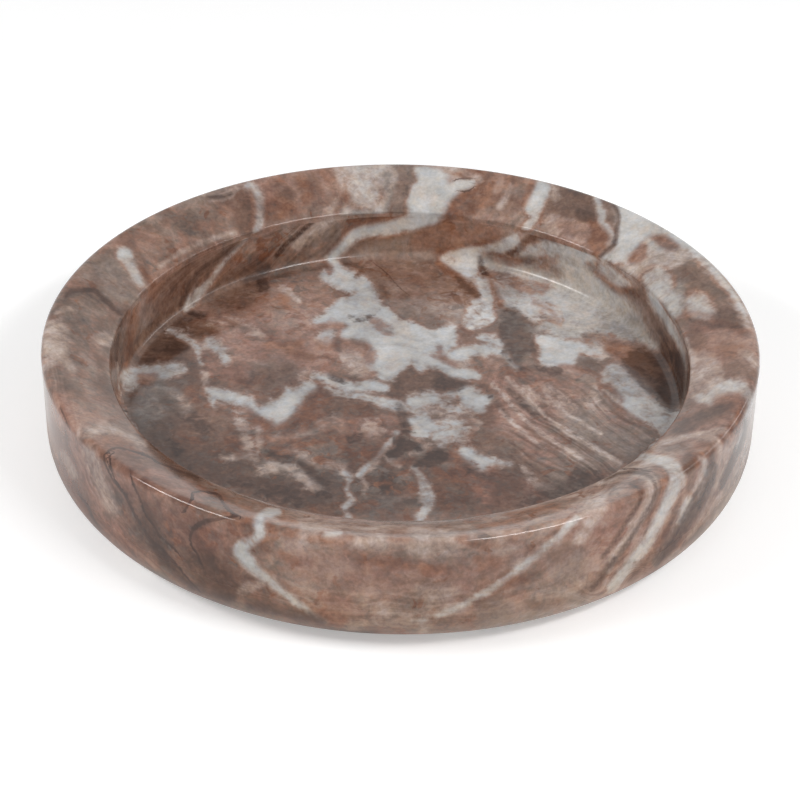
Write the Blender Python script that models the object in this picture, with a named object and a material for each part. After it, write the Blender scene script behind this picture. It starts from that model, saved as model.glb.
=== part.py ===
# Turned marble bowl: a thick flat floor, a low wall and a broad rim that dips inwards,
# standing on four round felt pads. Metres, +Z up, the pads' lower faces on z = 0.

import math

import bpy
from mathutils import Vector

# Marble body
OUTER_RADIUS = 0.150          # radius of the wall just under the rim
CREST_HEIGHT = 0.0544         # underside to the rim's outer corner, before that corner is eased
WALL_DRAFT = 0.0012           # how much the wall has drawn in when it reaches the underside
RIM_WIDTH = 0.0284            # rim's outer corner to its inner lip, seen from above
RIM_DIP = 0.0108              # how far the lip lies below the rim's outer corner
RIM_CROWN = 0.0008            # bulge of the rim over a straight cone
FLOOR_THICKNESS = 0.0203      # underside to the floor of the hollow
INNER_DRAFT = 0.0018          # how much the hollow narrows from the lip to the floor
CREST_EASE = 0.0027           # rounding of the rim's outer corner
LIP_EASE = 0.0015             # rounding of the rim's inner lip
COVE_RADIUS = 0.0045          # hollow rounding where the inner wall meets the floor
HEEL_RADIUS = 0.0187          # broad rounding between the wall and the underside

# Felt pads
PAD_COUNT = 4
PAD_RADIUS = 0.009
PAD_THICKNESS = 0.002
PAD_EDGE_ROUND = 0.0004
PAD_INSET = 0.0127            # edge of the flat underside to the edge of a pad
GLUE_FILM = 0.0003            # film that holds each pad to the stone

# Fineness of the round forms
BODY_STEPS = 96
PAD_STEPS = 32
CROWN_SHARES = (0.25, 0.4, 0.6, 0.75)     # along the rim, clear of both eased corners
FACET_ANGLE = math.radians(10)
PAD_FACET_ANGLE = math.radians(30)
MERGE_DISTANCE = 0.00001

# Heights and radii that follow from the sizes above
BODY_BOTTOM = PAD_THICKNESS + GLUE_FILM
FLOOR_LEVEL = BODY_BOTTOM + FLOOR_THICKNESS
CREST_LEVEL = BODY_BOTTOM + CREST_HEIGHT
LIP_LEVEL = CREST_LEVEL - RIM_DIP
LIP_RADIUS = OUTER_RADIUS - RIM_WIDTH
FLOOR_RADIUS = LIP_RADIUS - INNER_DRAFT
HEEL_CORNER_RADIUS = OUTER_RADIUS - WALL_DRAFT


def clear_objects():
    for old in list(bpy.data.objects):
        bpy.data.objects.remove(old, do_unlink=True)


def make_material(name, color, roughness):
    material = bpy.data.materials.new(name)
    material.use_nodes = True
    shader = material.node_tree.nodes["Principled BSDF"]
    shader.inputs["Base Color"].default_value = (*color, 1.0)
    shader.inputs["Roughness"].default_value = roughness
    shader.inputs["Metallic"].default_value = 0.0
    material.diffuse_color = (*color, 1.0)
    return material


def round_corner(before, corner, after, radius, facet_angle):
    """Points of the arc that is tangent to both sides of a corner."""
    to_before = (before - corner).normalized()
    to_after = (after - corner).normalized()
    opening = to_before.angle(to_after)
    turn = math.pi - opening
    tangent_length = radius / math.tan(opening / 2)
    bisector = (to_before + to_after).normalized()
    centre = corner + bisector * (radius / math.sin(opening / 2))
    start = corner + to_before * tangent_length - centre
    side = 1.0 if to_before.cross(to_after) > 0 else -1.0
    steps = max(2, math.ceil(turn / facet_angle))
    points = []
    for i in range(steps + 1):
        angle = side * turn * i / steps
        swung = Vector((start.x * math.cos(angle) + start.y * math.sin(angle),
                        start.y * math.cos(angle) - start.x * math.sin(angle)))
        points.append(centre + swung)
    return points


def round_outline(corners, facet_angle):
    """Open outline through (radius, height, rounding) corners, each one eased by its rounding."""
    places = [Vector((x, z)) for x, z, _ in corners]
    outline = [places[0]]
    for i in range(1, len(corners) - 1):
        rounding = corners[i][2]
        if rounding > 0:
            outline += round_corner(places[i - 1], places[i], places[i + 1], rounding, facet_angle)
        else:
            outline.append(places[i])
    outline.append(places[-1])
    return outline


def rim_crown():
    """Points of the rim between its lip and its outer corner, bulged over the straight cone."""
    lip = Vector((LIP_RADIUS, LIP_LEVEL))
    crest = Vector((OUTER_RADIUS, CREST_LEVEL))
    along = crest - lip
    outward = Vector((-along.y, along.x)).normalized()
    points = []
    for share in CROWN_SHARES:
        bulge = RIM_CROWN * (1 - (2 * share - 1) ** 2)
        point = lip + along * share + outward * bulge
        points.append((point.x, point.y, 0))
    return points


def body_outline():
    """Half section of the stone, from the middle of the floor, over the rim, to the underside."""
    corners = [
        (0, FLOOR_LEVEL, 0),
        (FLOOR_RADIUS, FLOOR_LEVEL, COVE_RADIUS),
        (LIP_RADIUS, LIP_LEVEL, LIP_EASE),
        *rim_crown(),
        (OUTER_RADIUS, CREST_LEVEL, CREST_EASE),
        (HEEL_CORNER_RADIUS, BODY_BOTTOM, HEEL_RADIUS),
        (0, BODY_BOTTOM, 0),
    ]
    return round_outline(corners, FACET_ANGLE)


def flat_underside_radius(outline):
    """Reach of the flat underside, up to where the heel's rounding starts."""
    return outline[-2].x


def pad_outline():
    """Half section of one pad about its own axis, from the middle of its top to its underside."""
    corners = [
        (0, PAD_THICKNESS, 0),
        (PAD_RADIUS, PAD_THICKNESS, PAD_EDGE_ROUND),
        (PAD_RADIUS, 0, PAD_EDGE_ROUND),
        (0, 0, 0),
    ]
    return round_outline(corners, PAD_FACET_ANGLE)


def turned_mesh(name, outline):
    """Half section drawn as a chain of edges in the XZ plane, ready to be turned about Z."""
    mesh = bpy.data.meshes.new(name)
    points = [(p.x, 0, p.y) for p in outline]
    edges = [(i, i + 1) for i in range(len(points) - 1)]
    mesh.from_pydata(points, edges, [])
    return mesh


def add_turning(part, steps):
    screw = part.modifiers.new("Turn", "SCREW")
    screw.axis = "Z"
    screw.angle = math.tau
    screw.steps = steps
    screw.render_steps = steps
    screw.use_merge_vertices = True
    screw.merge_threshold = MERGE_DISTANCE
    screw.use_smooth_shade = True


def add_part(name, mesh, material, steps):
    part = bpy.data.objects.new(name, mesh)
    bpy.context.scene.collection.objects.link(part)
    if not mesh.materials:
        mesh.materials.append(material)
    add_turning(part, steps)
    return part


def make_bowl(outline):
    marble = make_material("polished_marble", (0.40, 0.29, 0.24), 0.18)
    return add_part("bowl", turned_mesh("bowl", outline), marble, BODY_STEPS)


def make_pads(bowl, circle_radius):
    felt = make_material("brown_felt", (0.16, 0.11, 0.08), 0.95)
    mesh = turned_mesh("foot_pad", pad_outline())
    for i in range(PAD_COUNT):
        angle = math.tau * (i + 0.5) / PAD_COUNT
        pad = add_part(f"foot_pad_{i + 1}", mesh, felt, PAD_STEPS)
        pad.location = (circle_radius * math.cos(angle), circle_radius * math.sin(angle), 0)
        pad.parent = bowl


def main():
    clear_objects()
    outline = body_outline()
    bowl = make_bowl(outline)
    pad_circle_radius = flat_underside_radius(outline) - PAD_INSET - PAD_RADIUS
    make_pads(bowl, pad_circle_radius)
    top = max(p.y for p in outline)
    print(f"bowl {2 * OUTER_RADIUS:.4f} m across, {top:.4f} m high, {PAD_COUNT} pads")


main()
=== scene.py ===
import math

import bpy
import numpy as np
from mathutils import Matrix, Vector


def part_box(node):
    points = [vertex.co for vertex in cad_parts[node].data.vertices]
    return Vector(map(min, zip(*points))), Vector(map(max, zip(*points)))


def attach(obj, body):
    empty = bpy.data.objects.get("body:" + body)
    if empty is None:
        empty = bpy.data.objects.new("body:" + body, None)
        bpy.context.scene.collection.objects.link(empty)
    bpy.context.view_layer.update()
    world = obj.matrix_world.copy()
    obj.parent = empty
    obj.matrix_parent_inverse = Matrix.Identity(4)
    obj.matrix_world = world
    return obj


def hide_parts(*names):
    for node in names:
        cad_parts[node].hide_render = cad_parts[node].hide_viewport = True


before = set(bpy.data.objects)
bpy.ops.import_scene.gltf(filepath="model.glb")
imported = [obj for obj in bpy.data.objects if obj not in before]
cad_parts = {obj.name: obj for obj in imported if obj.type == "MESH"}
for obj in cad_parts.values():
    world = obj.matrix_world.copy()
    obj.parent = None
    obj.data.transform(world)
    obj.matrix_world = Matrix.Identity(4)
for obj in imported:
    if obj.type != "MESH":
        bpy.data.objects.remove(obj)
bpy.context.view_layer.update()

# camera at the angle of the photograph; its numbers also place the veins on the stone
cameraView = {
    "elevation": math.radians(32.96),
    "roll": 0.0134,
    "distance": 1.3109,
    "aim": (0.00009, 0.03118, 0.0023),
    "lens": 135.0,
    "sensor": 36.0,
    "frame": 800,                # width and height of the picture in pixels
}


def cameraAxes(view):
    # right, up and backward directions of the camera
    tilt, roll = view["elevation"], view["roll"]
    flatRight = np.array((1.0, 0.0, 0.0))
    flatUp = np.array((0.0, math.sin(tilt), math.cos(tilt)))
    backward = np.array((0.0, -math.cos(tilt), math.sin(tilt)))
    right = math.cos(roll) * flatRight + math.sin(roll) * flatUp
    up = math.cos(roll) * flatUp - math.sin(roll) * flatRight
    return right, up, backward


def makeCamera(view):
    right, up, backward = cameraAxes(view)
    place = np.array(view["aim"]) + backward * view["distance"]
    lens = bpy.data.cameras.new("camera")
    lens.lens = view["lens"]
    lens.sensor_width = view["sensor"]
    camera = bpy.data.objects.new("camera", lens)
    bpy.context.scene.collection.objects.link(camera)
    columns = [Vector((*direction, 0)) for direction in (right, up, backward)] + [Vector((*place, 1))]
    camera.matrix_world = Matrix(columns).transposed()
    bpy.context.scene.camera = camera


def pictureSpots(points, view):
    # where points of the bowl fall in the picture, in pixels from its upper left corner
    right, up, backward = cameraAxes(view)
    offset = points - (np.array(view["aim"]) + backward * view["distance"])
    depth = -(offset @ backward)
    zoom = view["lens"] / view["sensor"] * view["frame"]
    middle = view["frame"] / 2
    return np.column_stack((middle + zoom * (offset @ right) / depth,
                            middle - zoom * (offset @ up) / depth))


makeCamera(cameraView)
print("camera set")

# half section of the stone in metres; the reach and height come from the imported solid
bowlShape = {
    "radius": 0.150,
    "height": 0.0544,            # underside to the rim's outer corner before it is eased
    "wallDraft": 0.0012,
    "rimWidth": 0.0284,
    "rimDip": 0.0108,
    "rimCrown": 0.0008,
    "floorThickness": 0.0203,
    "innerDraft": 0.0018,
    "crestEase": 0.0027,
    "lipEase": 0.0015,
    "coveRadius": 0.0045,
    "heelRadius": 0.0187,
    "segments": 640,
    "floorStep": 0.00165,        # how far apart the rings are
    "wallStep": 0.002,
    "undersideStep": 0.016,
    "rimRings": 17,
    "rimSpan": (0.08, 0.84),     # crowned part of the rim, as shares of its width
    "arcSteps": {"cove": 5, "lip": 6, "crest": 9, "heel": 12},
}
mergeDistance = 1e-6             # closes the seam and the middle of a turned piece


def easeCorner(before, corner, after, radius, steps):
    # arc that touches both sides of a corner
    toBefore = (before - corner).normalized()
    toAfter = (after - corner).normalized()
    opening = toBefore.angle(toAfter)
    centre = corner + (toBefore + toAfter).normalized() * (radius / math.sin(opening / 2))
    start = corner + toBefore * (radius / math.tan(opening / 2)) - centre
    side = 1.0 if toBefore.cross(toAfter) > 0 else -1.0
    arc = []
    for i in range(steps + 1):
        angle = side * (math.pi - opening) * i / steps
        arc.append(centre + Vector((start.x * math.cos(angle) + start.y * math.sin(angle),
                                    start.y * math.cos(angle) - start.x * math.sin(angle))))
    return arc


def between(first, last, step):
    # points that divide a straight run evenly, without its ends
    count = max(1, round((last - first).length / step))
    return [first.lerp(last, i / count) for i in range(1, count)]


def bowlOutline(shape):
    lipRadius = shape["radius"] - shape["rimWidth"]
    lip = Vector((lipRadius, shape["height"] - shape["rimDip"]))
    crest = Vector((shape["radius"], shape["height"]))
    cove = Vector((lipRadius - shape["innerDraft"], shape["floorThickness"]))
    heel = Vector((shape["radius"] - shape["wallDraft"], 0))
    middle, under = Vector((0, shape["floorThickness"])), Vector((0, 0))
    outward = Vector((lip.y - crest.y, crest.x - lip.x)).normalized()
    rim = []
    for share in np.linspace(*shape["rimSpan"], shape["rimRings"]):
        rim.append(lip.lerp(crest, share) + outward * shape["rimCrown"] * (1 - (2 * share - 1) ** 2))
    steps = shape["arcSteps"]
    coveArc = easeCorner(middle, cove, lip, shape["coveRadius"], steps["cove"])
    lipArc = easeCorner(cove, lip, rim[0], shape["lipEase"], steps["lip"])
    crestArc = easeCorner(rim[-1], crest, heel, shape["crestEase"], steps["crest"])
    heelArc = easeCorner(crest, heel, under, shape["heelRadius"], steps["heel"])
    return [middle, *between(middle, coveArc[0], shape["floorStep"]), *coveArc,
            *between(coveArc[-1], lipArc[0], shape["wallStep"]), *lipArc, *rim, *crestArc,
            *between(crestArc[-1], heelArc[0], shape["wallStep"]), *heelArc,
            *between(heelArc[-1], under, shape["undersideStep"]), under]


def fitOutline(outline, box):
    # stretches an outline the last hair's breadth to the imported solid's box
    low, high = box
    points = np.array([(p.x, p.y) for p in outline])
    points[:, 0] *= high.x / points[:, 0].max()
    bottom, top = points[:, 1].min(), points[:, 1].max()
    points[:, 1] = low.z + (points[:, 1] - bottom) * (high.z - low.z) / (top - bottom)
    return points


def addNode(tree, kind, feeds=None, **settings):
    made = tree.nodes.new(kind)
    for name, value in settings.items():
        setattr(made, name, value)
    for socket, value in (feeds or {}).items():
        if isinstance(value, bpy.types.NodeSocket):
            tree.links.new(value, made.inputs[socket])
        else:
            made.inputs[socket].default_value = value
    return made


def calc(tree, operation, first, second=0.0, third=0.0):
    return addNode(tree, "ShaderNodeMath", {0: first, 1: second, 2: third}, operation=operation).outputs[0]


def vectorCalc(tree, operation, first, second=(0, 0, 0), scale=1.0):
    made = addNode(tree, "ShaderNodeVectorMath", {0: first, 1: second, 3: scale}, operation=operation)
    return made.outputs[1 if operation == "LENGTH" else 0]


def splitVector(tree, vector):
    return addNode(tree, "ShaderNodeSeparateXYZ", {0: vector}).outputs


def joinVector(tree, x=0.0, y=0.0, z=0.0):
    return addNode(tree, "ShaderNodeCombineXYZ", {0: x, 1: y, 2: z}).outputs[0]


latheInputs = {"Geometry": "Geometry", "Segments": "Int", "Merge Distance": "Float", "Finish": "Material"}


def beginTree(name, inputs):
    tree = bpy.data.node_groups.new(name, "GeometryNodeTree")
    for label, kind in inputs.items():
        tree.interface.new_socket(label, in_out="INPUT", socket_type="NodeSocket" + kind)
    tree.interface.new_socket("Geometry", in_out="OUTPUT", socket_type="NodeSocketGeometry")
    return tree, tree.nodes.new("NodeGroupInput").outputs


def endTree(tree, geometry, finish):
    real = addNode(tree, "GeometryNodeRealizeInstances", {0: geometry}).outputs[0]
    finished = addNode(tree, "GeometryNodeSetMaterial", {"Geometry": real, "Material": finish}).outputs[0]
    tree.links.new(finished, tree.nodes.new("NodeGroupOutput").inputs[0])
    return tree


def latheTree():
    # turns a half section, drawn as points in the XZ plane, about Z
    tree, given = beginTree("turnOnLathe", latheInputs)
    points = addNode(tree, "GeometryNodeAttributeDomainSize", {0: given["Geometry"]}).outputs["Point Count"]
    columns = calc(tree, "ADD", given["Segments"], 1)
    grid = addNode(tree, "GeometryNodeMeshGrid", {"Vertices X": points, "Vertices Y": columns}).outputs[0]
    index = tree.nodes.new("GeometryNodeInputIndex").outputs[0]
    ring = calc(tree, "FLOOR", calc(tree, "DIVIDE", calc(tree, "ADD", index, 0.5), columns))
    column = calc(tree, "SUBTRACT", index, calc(tree, "MULTIPLY", ring, columns))
    angle = calc(tree, "DIVIDE", calc(tree, "MULTIPLY", column, math.tau), given["Segments"])
    position = tree.nodes.new("GeometryNodeInputPosition").outputs[0]
    section = addNode(tree, "GeometryNodeSampleIndex",
                      {"Geometry": given["Geometry"], "Value": position, "Index": ring},
                      data_type="FLOAT_VECTOR").outputs[0]
    x, y, z = splitVector(tree, section)
    turned = joinVector(tree, calc(tree, "MULTIPLY", x, calc(tree, "COSINE", angle)),
                        calc(tree, "MULTIPLY", x, calc(tree, "SINE", angle)), z)
    shaped = addNode(tree, "GeometryNodeSetPosition", {"Geometry": grid, "Position": turned}).outputs[0]
    closed = addNode(tree, "GeometryNodeMergeByDistance",
                     {"Geometry": shaped, "Distance": given["Merge Distance"]}).outputs[0]
    smooth = addNode(tree, "GeometryNodeSetShadeSmooth", {"Geometry": closed}).outputs[0]
    return endTree(tree, smooth, given["Finish"])


def drawSection(name, outline):
    # a piece that is only its half section as yet, as a chain of edges
    section = bpy.data.meshes.new("section")
    section.from_pydata([(x, 0, z) for x, z in outline], [(i, i + 1) for i in range(len(outline) - 1)], [])
    piece = bpy.data.objects.new(name, section)
    bpy.context.scene.collection.objects.link(piece)
    return piece


def applyTree(piece, tree, values):
    # runs a Geometry Nodes tree on a piece and keeps the result as its plain mesh
    modifier = piece.modifiers.new(tree.name, "NODES")
    modifier.node_group = tree
    for item in tree.interface.items_tree:
        if item.in_out == "INPUT" and item.name in values:
            modifier[item.identifier] = values[item.name]
    evaluated = piece.evaluated_get(bpy.context.evaluated_depsgraph_get())
    mesh = bpy.data.meshes.new_from_object(evaluated)
    mesh.name = piece.name
    piece.modifiers.remove(modifier)
    piece.data = mesh


# The stone's markings, each drawn as an outline "x,y x,y ..." or, where a third
# number is given, as a stroke of that width from there on. Most are the stone's own colour; the broad
# lighter and darker places and a few strokes noted below are painted light, painted highlight and painted
# shade.
# kind: softness of the edge, how fully it covers, then outlines and strokes with ; between them
hollowMarks = {
    "streaky": [
        (8, 1, "500,370 545,385 600,390 660,440 640,460 590,480 540,470 500,430"),
        (6, .6, "140,300 200,255 260,232 340,225 320,255 260,270 200,300 180,320 150,340"),
        (5, 1, "640,280 670,320 690,370 684,400 664,350"),
    ],
    "calm": [
        (12, 1, "120,340 200,290 330,262 480,300 500,350 505,400 520,470 480,500 300,505 160,470 "
         "120,400"),
    ],
    "flecked": [
        (9, 1, "175,410 230,400 330,395 400,405 405,440 480,455 490,480 440,515 330,512 250,500 175,462"),
    ],
    "rose": [
        (12, .6, "210,315 330,318 340,345 320,370 230,370 205,350"),
        (6, .8, "350,424 372,418 392,420 402,430 388,440 366,436 352,432"),
        (7, .8, "488,408 505,410 535,425 560,440 550,452 520,440 495,428"),
        (8, .6, "500,380 560,380 590,400 560,400 520,392"), (6, .5, "300,345 320,350 330,365 305,368"),
        (7, .5, "495,262 540,262 560,285 500,280"),
        (4, .7, "456,331 480,330 500,338 500,346 475,346 458,342"),
        (5, .6, "545,262 560,260 575,268 575,280 558,282 546,274"),
        (6, .6, "470,468 500,472 530,482 540,496 515,506 485,500 465,486"),
    ],
    # broad soft places made paler: partly the stone's own lighter tone, partly painted light
    "paleAndPaintedLight": [
        (1.5, .9, "135,292,6 131,308,5 128,325 124,345 121,362,4"),
        (2, .7, "256,231,4 243,242,6 230,255 218,268 206,281,4"),
        (9, .8, "385,285 440,285 470,310 440,330 400,315"),
        (12, .95, "530,265 590,260 630,290 640,320 600,330 545,325 525,300"),
        (8, .6, "130,290 160,280 160,330 135,345"), (9, .65, "215,300 300,290 310,325 220,320"),
        (8, .7, "560,410 600,405 610,425 575,430"),
        (8, 1, "545,280 600,270 628,290 636,320 600,330 560,318 545,300"),
        (7, .7, "440,250 480,246 480,270 490,300 490,325 468,328 468,300 460,275"),
        (5, .9, "445,232,10 470,232,16 500,235,14 520,238,10; 350,240,10 380,248,14 400,252 415,248,8; "
         "560,255,10 585,255,16 615,268,14 630,285,10; 625,345,14 645,370 655,400,12 662,425,10"),
        (5, .8, "290,212,8 320,212,12 340,214,8; 432,286 452,280 470,288 460,302 438,302; 592,322 "
         "606,318 612,334 600,344"),
        (4, .8, "335,325,10 345,335"),
        (5, .7, "530,325,8 548,335,10; 605,325,12 622,335; 206,240 240,228 262,236 236,262 206,286 "
         "190,284"),
        (5, .6, "480,280,8 500,300,10; 372,342 384,340 392,352 380,362"),
        (5, .5, "430,226 452,220 472,230 460,242 436,240"),
        (6, .5, "392,246 420,240 432,262 420,280 398,272"),
        (7, 1, "425,290 450,280 474,294 478,318 455,328 430,318"),
        (6, 1, "350,238 400,234 442,244 432,260 380,262 350,254"),
    ],
    # broad soft places made darker: partly the stone's own darker tone, partly painted shade, as on the
    # front of the floor that the front wall shades
    "dimAndPaintedShade": [
        (14, 1, "120,420 200,440 300,440 400,440 470,455 560,470 600,475 560,500 400,520 250,505 "
         "160,460"),
        (10, .9, "345,290 380,290 420,320 445,330 440,390 400,385 370,360 345,330"),
        (9, .8, "265,385 300,375 320,390 300,415 270,420; 400,430 450,450 450,480 395,480 380,450"),
        (8, .9, "610,375 640,375 670,405 660,425 625,405"), (8, .5, "485,250 520,250 520,300 490,300"),
        (9, .75, "250,255 320,255 320,275 260,285"),
        (8, .8, "398,388 450,385 490,388 490,440 440,448 400,440"),
        (6, 1, "165,372,12 190,366,16 205,355,14 215,335,12"),
        (6, .9, "165,400,12 180,425 190,440,10; 215,345,10 222,370,12"),
        (5, .8, "650,295,10 662,315; 412,324 430,326 434,352 420,366 410,350; 432,420 450,426 452,440 "
         "434,442"),
        (6, .7, "330,452,12 350,470,14 380,470,12; 220,310,12 240,300,14; 335,405,10 375,408"),
        (6, .6, "265,410,10 285,412; 435,430,10 445,436,8; 540,285,10 560,292; 420,355,8 425,330; "
         "333,384 362,376 396,384 398,418 388,442 356,440 352,420 322,416"),
        (5, .7, "345,262,8 355,262; 480,350,8 488,345; 234,322 262,318 276,332 250,342"),
        (7, .9, "165,366 182,352 215,356 238,370 252,388 236,402 205,400 178,392"),
        (6, .8, "256,404 288,398 300,414 314,430 302,444 276,438; 330,462 360,456 394,466 392,482 "
         "350,484"),
        (5, .6, "612,404 640,398 668,408 650,422 622,420"),
    ],
    "milk": [
        (3, 1, "445,250 465,246 490,243 505,240 515,234 530,243 545,240 560,244 575,243 590,248 "
         "600,257 612,266 625,277 632,285 620,286 612,282 605,276 612,286 622,294 634,300 642,308 "
         "648,318 654,330 660,342 656,348 645,345 625,342 605,338 590,334 585,338 600,350 575,362 "
         "545,364 540,350 545,330 530,322 515,314 500,306 492,296 485,284 478,278 465,276 452,268"),
        (3, .9, "136,402 150,398 164,404 166,414 156,422 146,428 138,416; 528,318 560,320 600,325 "
         "622,331 600,339 560,341 535,337"),
        (1.5, .7, "156,386,2 168,388,3 180,392"), (1.5, .8, "226,458,3 238,457,4 250,458,3"),
        (2, .8, "256,462,5 270,466,7 284,467,6 296,471,7 306,479,8 318,487,6 328,492,4"),
    ],
    "slate": [
        (3, 1, "503,310 515,310 526,317 538,326 531,335 533,352 526,354 520,367 510,368 502,358 "
         "504,345 499,332 500,320"),
        (4, .95, "130,391 140,386 150,381 165,377 180,375 190,382 194,398 188,409 176,417 160,423 "
         "147,428 139,420 131,412 125,402"),
        (4, .55, "578,354 590,352 604,356 608,364 600,371 588,369 580,362"),
        (5, .5, "190,458 215,455 255,458 262,470 235,476 205,470; 254,368 270,364 290,364 296,374 "
         "280,384 262,390 254,382"),
        (5, .3, "600,310 620,312 640,325 645,340 625,335 605,325"),
        (4, .5, "352,243 380,238 410,232 440,228 450,245 440,262 405,258 375,258 352,255"),
        (4, .6, "606,388 614,388 620,395 623,405 616,400 610,395; 280,478 300,484 322,480 340,490 "
         "330,500 300,502 280,494; 330,470 350,468 352,480 340,488 330,482"),
        (6, .5, "360,500 380,495 400,500 400,515 370,515"),
        (5, .45, "425,415 440,412 455,418 470,420 466,430 445,428 430,425"),
        (8, .35, "575,420 610,425 640,445 615,460 590,445"),
        (3, .7, "640,404 656,402 668,412 668,424 654,420 642,412"),
        (4, .8, "130,384 150,384 176,380 190,396 192,414 176,424 160,432 146,436 132,414"),
        (2, .8, "120,390,5 126,398,6 130,408,5"),
    ],
    "brown": [
        (4, 1, "150,318 165,312 185,318 200,325 214,330 208,338 196,340 192,352 190,364 170,364 "
         "150,366 136,364 132,345 138,328"),
        (5, .75, "250,231 232,238 215,247 195,256 175,267 160,282 150,295 140,312 134,330 140,345 "
         "160,330 175,312 186,300 198,286 214,270 230,255 246,240"),
        (5, .9, "206,282 222,272 240,268 252,272 258,290 250,305 235,312 218,308 206,300"),
        (7, .85, "144,430 160,418 185,412 205,412 225,418 240,432 250,452 262,462 240,470 215,480 "
         "190,470 165,452 150,440"),
        (6, .75, "225,472 260,478 300,485 340,490 345,512 310,512 270,500 240,490"),
        (8, .2, "378,262 400,262 430,272 462,285 470,305 455,320 430,325 408,315 392,300 382,285"),
        (3, .85, "398,372 408,364 420,371 432,368 445,374 462,380 470,386 455,392 440,393 425,392 "
         "410,388 395,390 386,384 392,381"),
        (2.5, .9, "306,400,4 314,393,8 319,386,6; 324,406,6 331,411,11 338,414,7"),
        (3, .9, "384,408,4 396,411,6 405,414 404,424,5 408,433,4; 162,322 178,317 196,320 214,324 "
         "212,334 196,338 178,332"),
        (4, .7, "470,432 486,434 501,440 512,445 519,455 512,461 498,458 484,452 472,444 466,438; "
         "176,430 182,440 184,456 176,458 170,444"),
        (4, .5, "518,454 530,462 540,470 548,478 540,484 528,476 518,466; 540,262 556,268 560,275 "
         "548,272"),
        (5, .45, "500,466 512,464 520,474 520,490 518,505 500,510 496,498 500,484"),
        (4, .9, "596,262 608,268 622,280 636,290 648,300 662,320 674,338 682,352 684,366 674,362 "
         "664,350 656,336 644,318 630,300 612,286 600,274"),
        (5, .55, "465,330 480,328 494,322 502,334 504,348 490,345 476,340 466,342"),
        (3, .8, "256,372 266,370 276,374 270,384 262,388 256,382; 345,256,3 355,246,5 375,240,6 "
         "395,235 420,228 440,222,5 460,214,4; 350,215,3 370,218,5 390,214 408,213,3"),
        (3, .7, "278,368 290,364 292,370 282,374; 535,330 532,340 534,352 538,362; 126,402,4 "
         "140,404,5; 192,370,5 196,380 192,390; 344,456,5 358,461,7; 330,404,6 350,409,9 375,411,8; "
         "650,290,6 662,312,8"),
        (2, .8, "282,346,3 290,346,4 298,345,3; 288,350,3 298,354,4 310,357; 124,305,4 118,330 "
         "115,350,5 112,375; 130,320,3 124,345 121,372; 172,438,6 180,446,11 186,456,8"),
        (2, .9, "438,250,4 455,247 470,245,5 485,242 500,239,4 508,235,3"),
        (2, .6, "345,264,2 365,270 378,280,3 388,295 398,305,2 425,318; 300,420,3 308,412,4 314,404"),
        (4, .6, "424,478 440,472 460,478 470,492 460,505 440,508 430,500; 575,352 590,354 604,356 "
         "606,364 596,368 580,362; 480,410 490,404 492,418 484,424"),
        (3, .6, "296,424,4 308,416 316,410"),
        (3, .5, "168,384,4 180,388,5 190,394,4; 345,452,5 360,462,6 350,472,5"),
        (2.5, .7, "148,401,3 158,404,4 166,400,3"),
        (2.5, .8, "324,384,4 332,391,5 342,398 356,401,4 372,406"),
        (2.5, .75, "376,386,3 390,392,6 402,394 412,391,4"),
        (1.5, .45, "545,425,3 560,435 576,444 594,452"), (1.5, .4, "525,425,3 540,437 556,449"),
        (3, .95, "142,342 160,338 178,340 190,348 184,356 160,358 140,358; 178,374,7 189,373,11 "
         "198,384,10"),
        (2.5, .85, "186,364,5 193,372,9 197,382,8 192,390,5"),
        (2, .7, "194,442,5 204,446,6; 498,254,3 512,258,5 528,260,6 545,262,5"),
        (2, .75, "302,462,5 310,471,8 318,480,6"),
        (2.5, .95, "588,266,2 598,274,4 608,283,6 618,290,7 628,294,8 638,302,9 646,313 652,326,8 "
         "656,340,5"),
    ],
    "pearl": [
        (3, .7, "237,414,4 241,424,5 243,436 248,448,6 252,455,4; 170,331,2 180,334,4 190,340,5 "
         "198,345 205,346,3; 212,318,3 226,320 244,327 262,335"),
        (2, .7, "222,459,3 236,457,5 247,459,3; 450,362,4 460,367 470,371,3"),
        (2.5, .6, "330,221,4 318,228,5 306,238 298,247,4; 290,449,4 300,455,5 310,459,4"),
        (1.8, .8, "395,434,4 391,440 387,448 381,453 378,459,3 373,465 367,470,5 362,473 362,479,3 "
         "367,487 362,492,2"),
        (1.5, .8, "384,456,3 392,460 400,467"), (2.5, .4, "290,468,3 295,471,6 306,479,7 315,487,5"),
        (3, .6, "583,400 592,393 599,388 600,396 592,402; 424,408 440,404 456,410 470,412 476,424 "
         "468,432 452,428 440,424 430,414; 322,424,6 334,422,8 342,428,6; 364,424 378,422 384,432 "
         "374,440 362,434"),
        (2, .6, "282,288,3 290,293,4 298,300,3; 258,428,4 260,440,5 258,452,4"),
        (2, .55, "523,468,2 530,479,3 539,486 552,490"), (3, .4, "548,388,3 560,396,5 575,408,4"),
        (3, .5, "262,472,3 275,468,5 290,470,4; 180,398,4 186,406,6 184,412,4; 275,438,3 295,434 "
         "312,433"),
        (2.5, .8, "334,216,5 324,224,8 313,232 303,240 297,246,5"),
        (4, .6, "346,346 362,350 368,366 360,376 348,366 344,354"),
        (2.5, .7, "292,449,3 300,455,6 308,460,5; 296,470,4 304,478,8 314,487 320,492,4; 302,378,4 "
         "310,375,5 318,376,4"),
        (1.5, .7, "412,455,2 420,451,3 428,446 432,443,2"),
        (1.3, .7, "506,378,2 514,385,3 523,393,2 531,403,3 545,415,2 558,426,3 572,435,2 588,444 "
         "604,453 620,463"),
        (1.2, .6, "492,384,2 504,396 514,408 526,420 542,433,3 558,444,2 572,452,3 580,458,4"),
        (1.2, .5, "500,410,2 514,424 530,438 546,450"),
        (1.2, .45, "545,392,2 556,402,3 566,412,2 580,422 600,434"),
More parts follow.
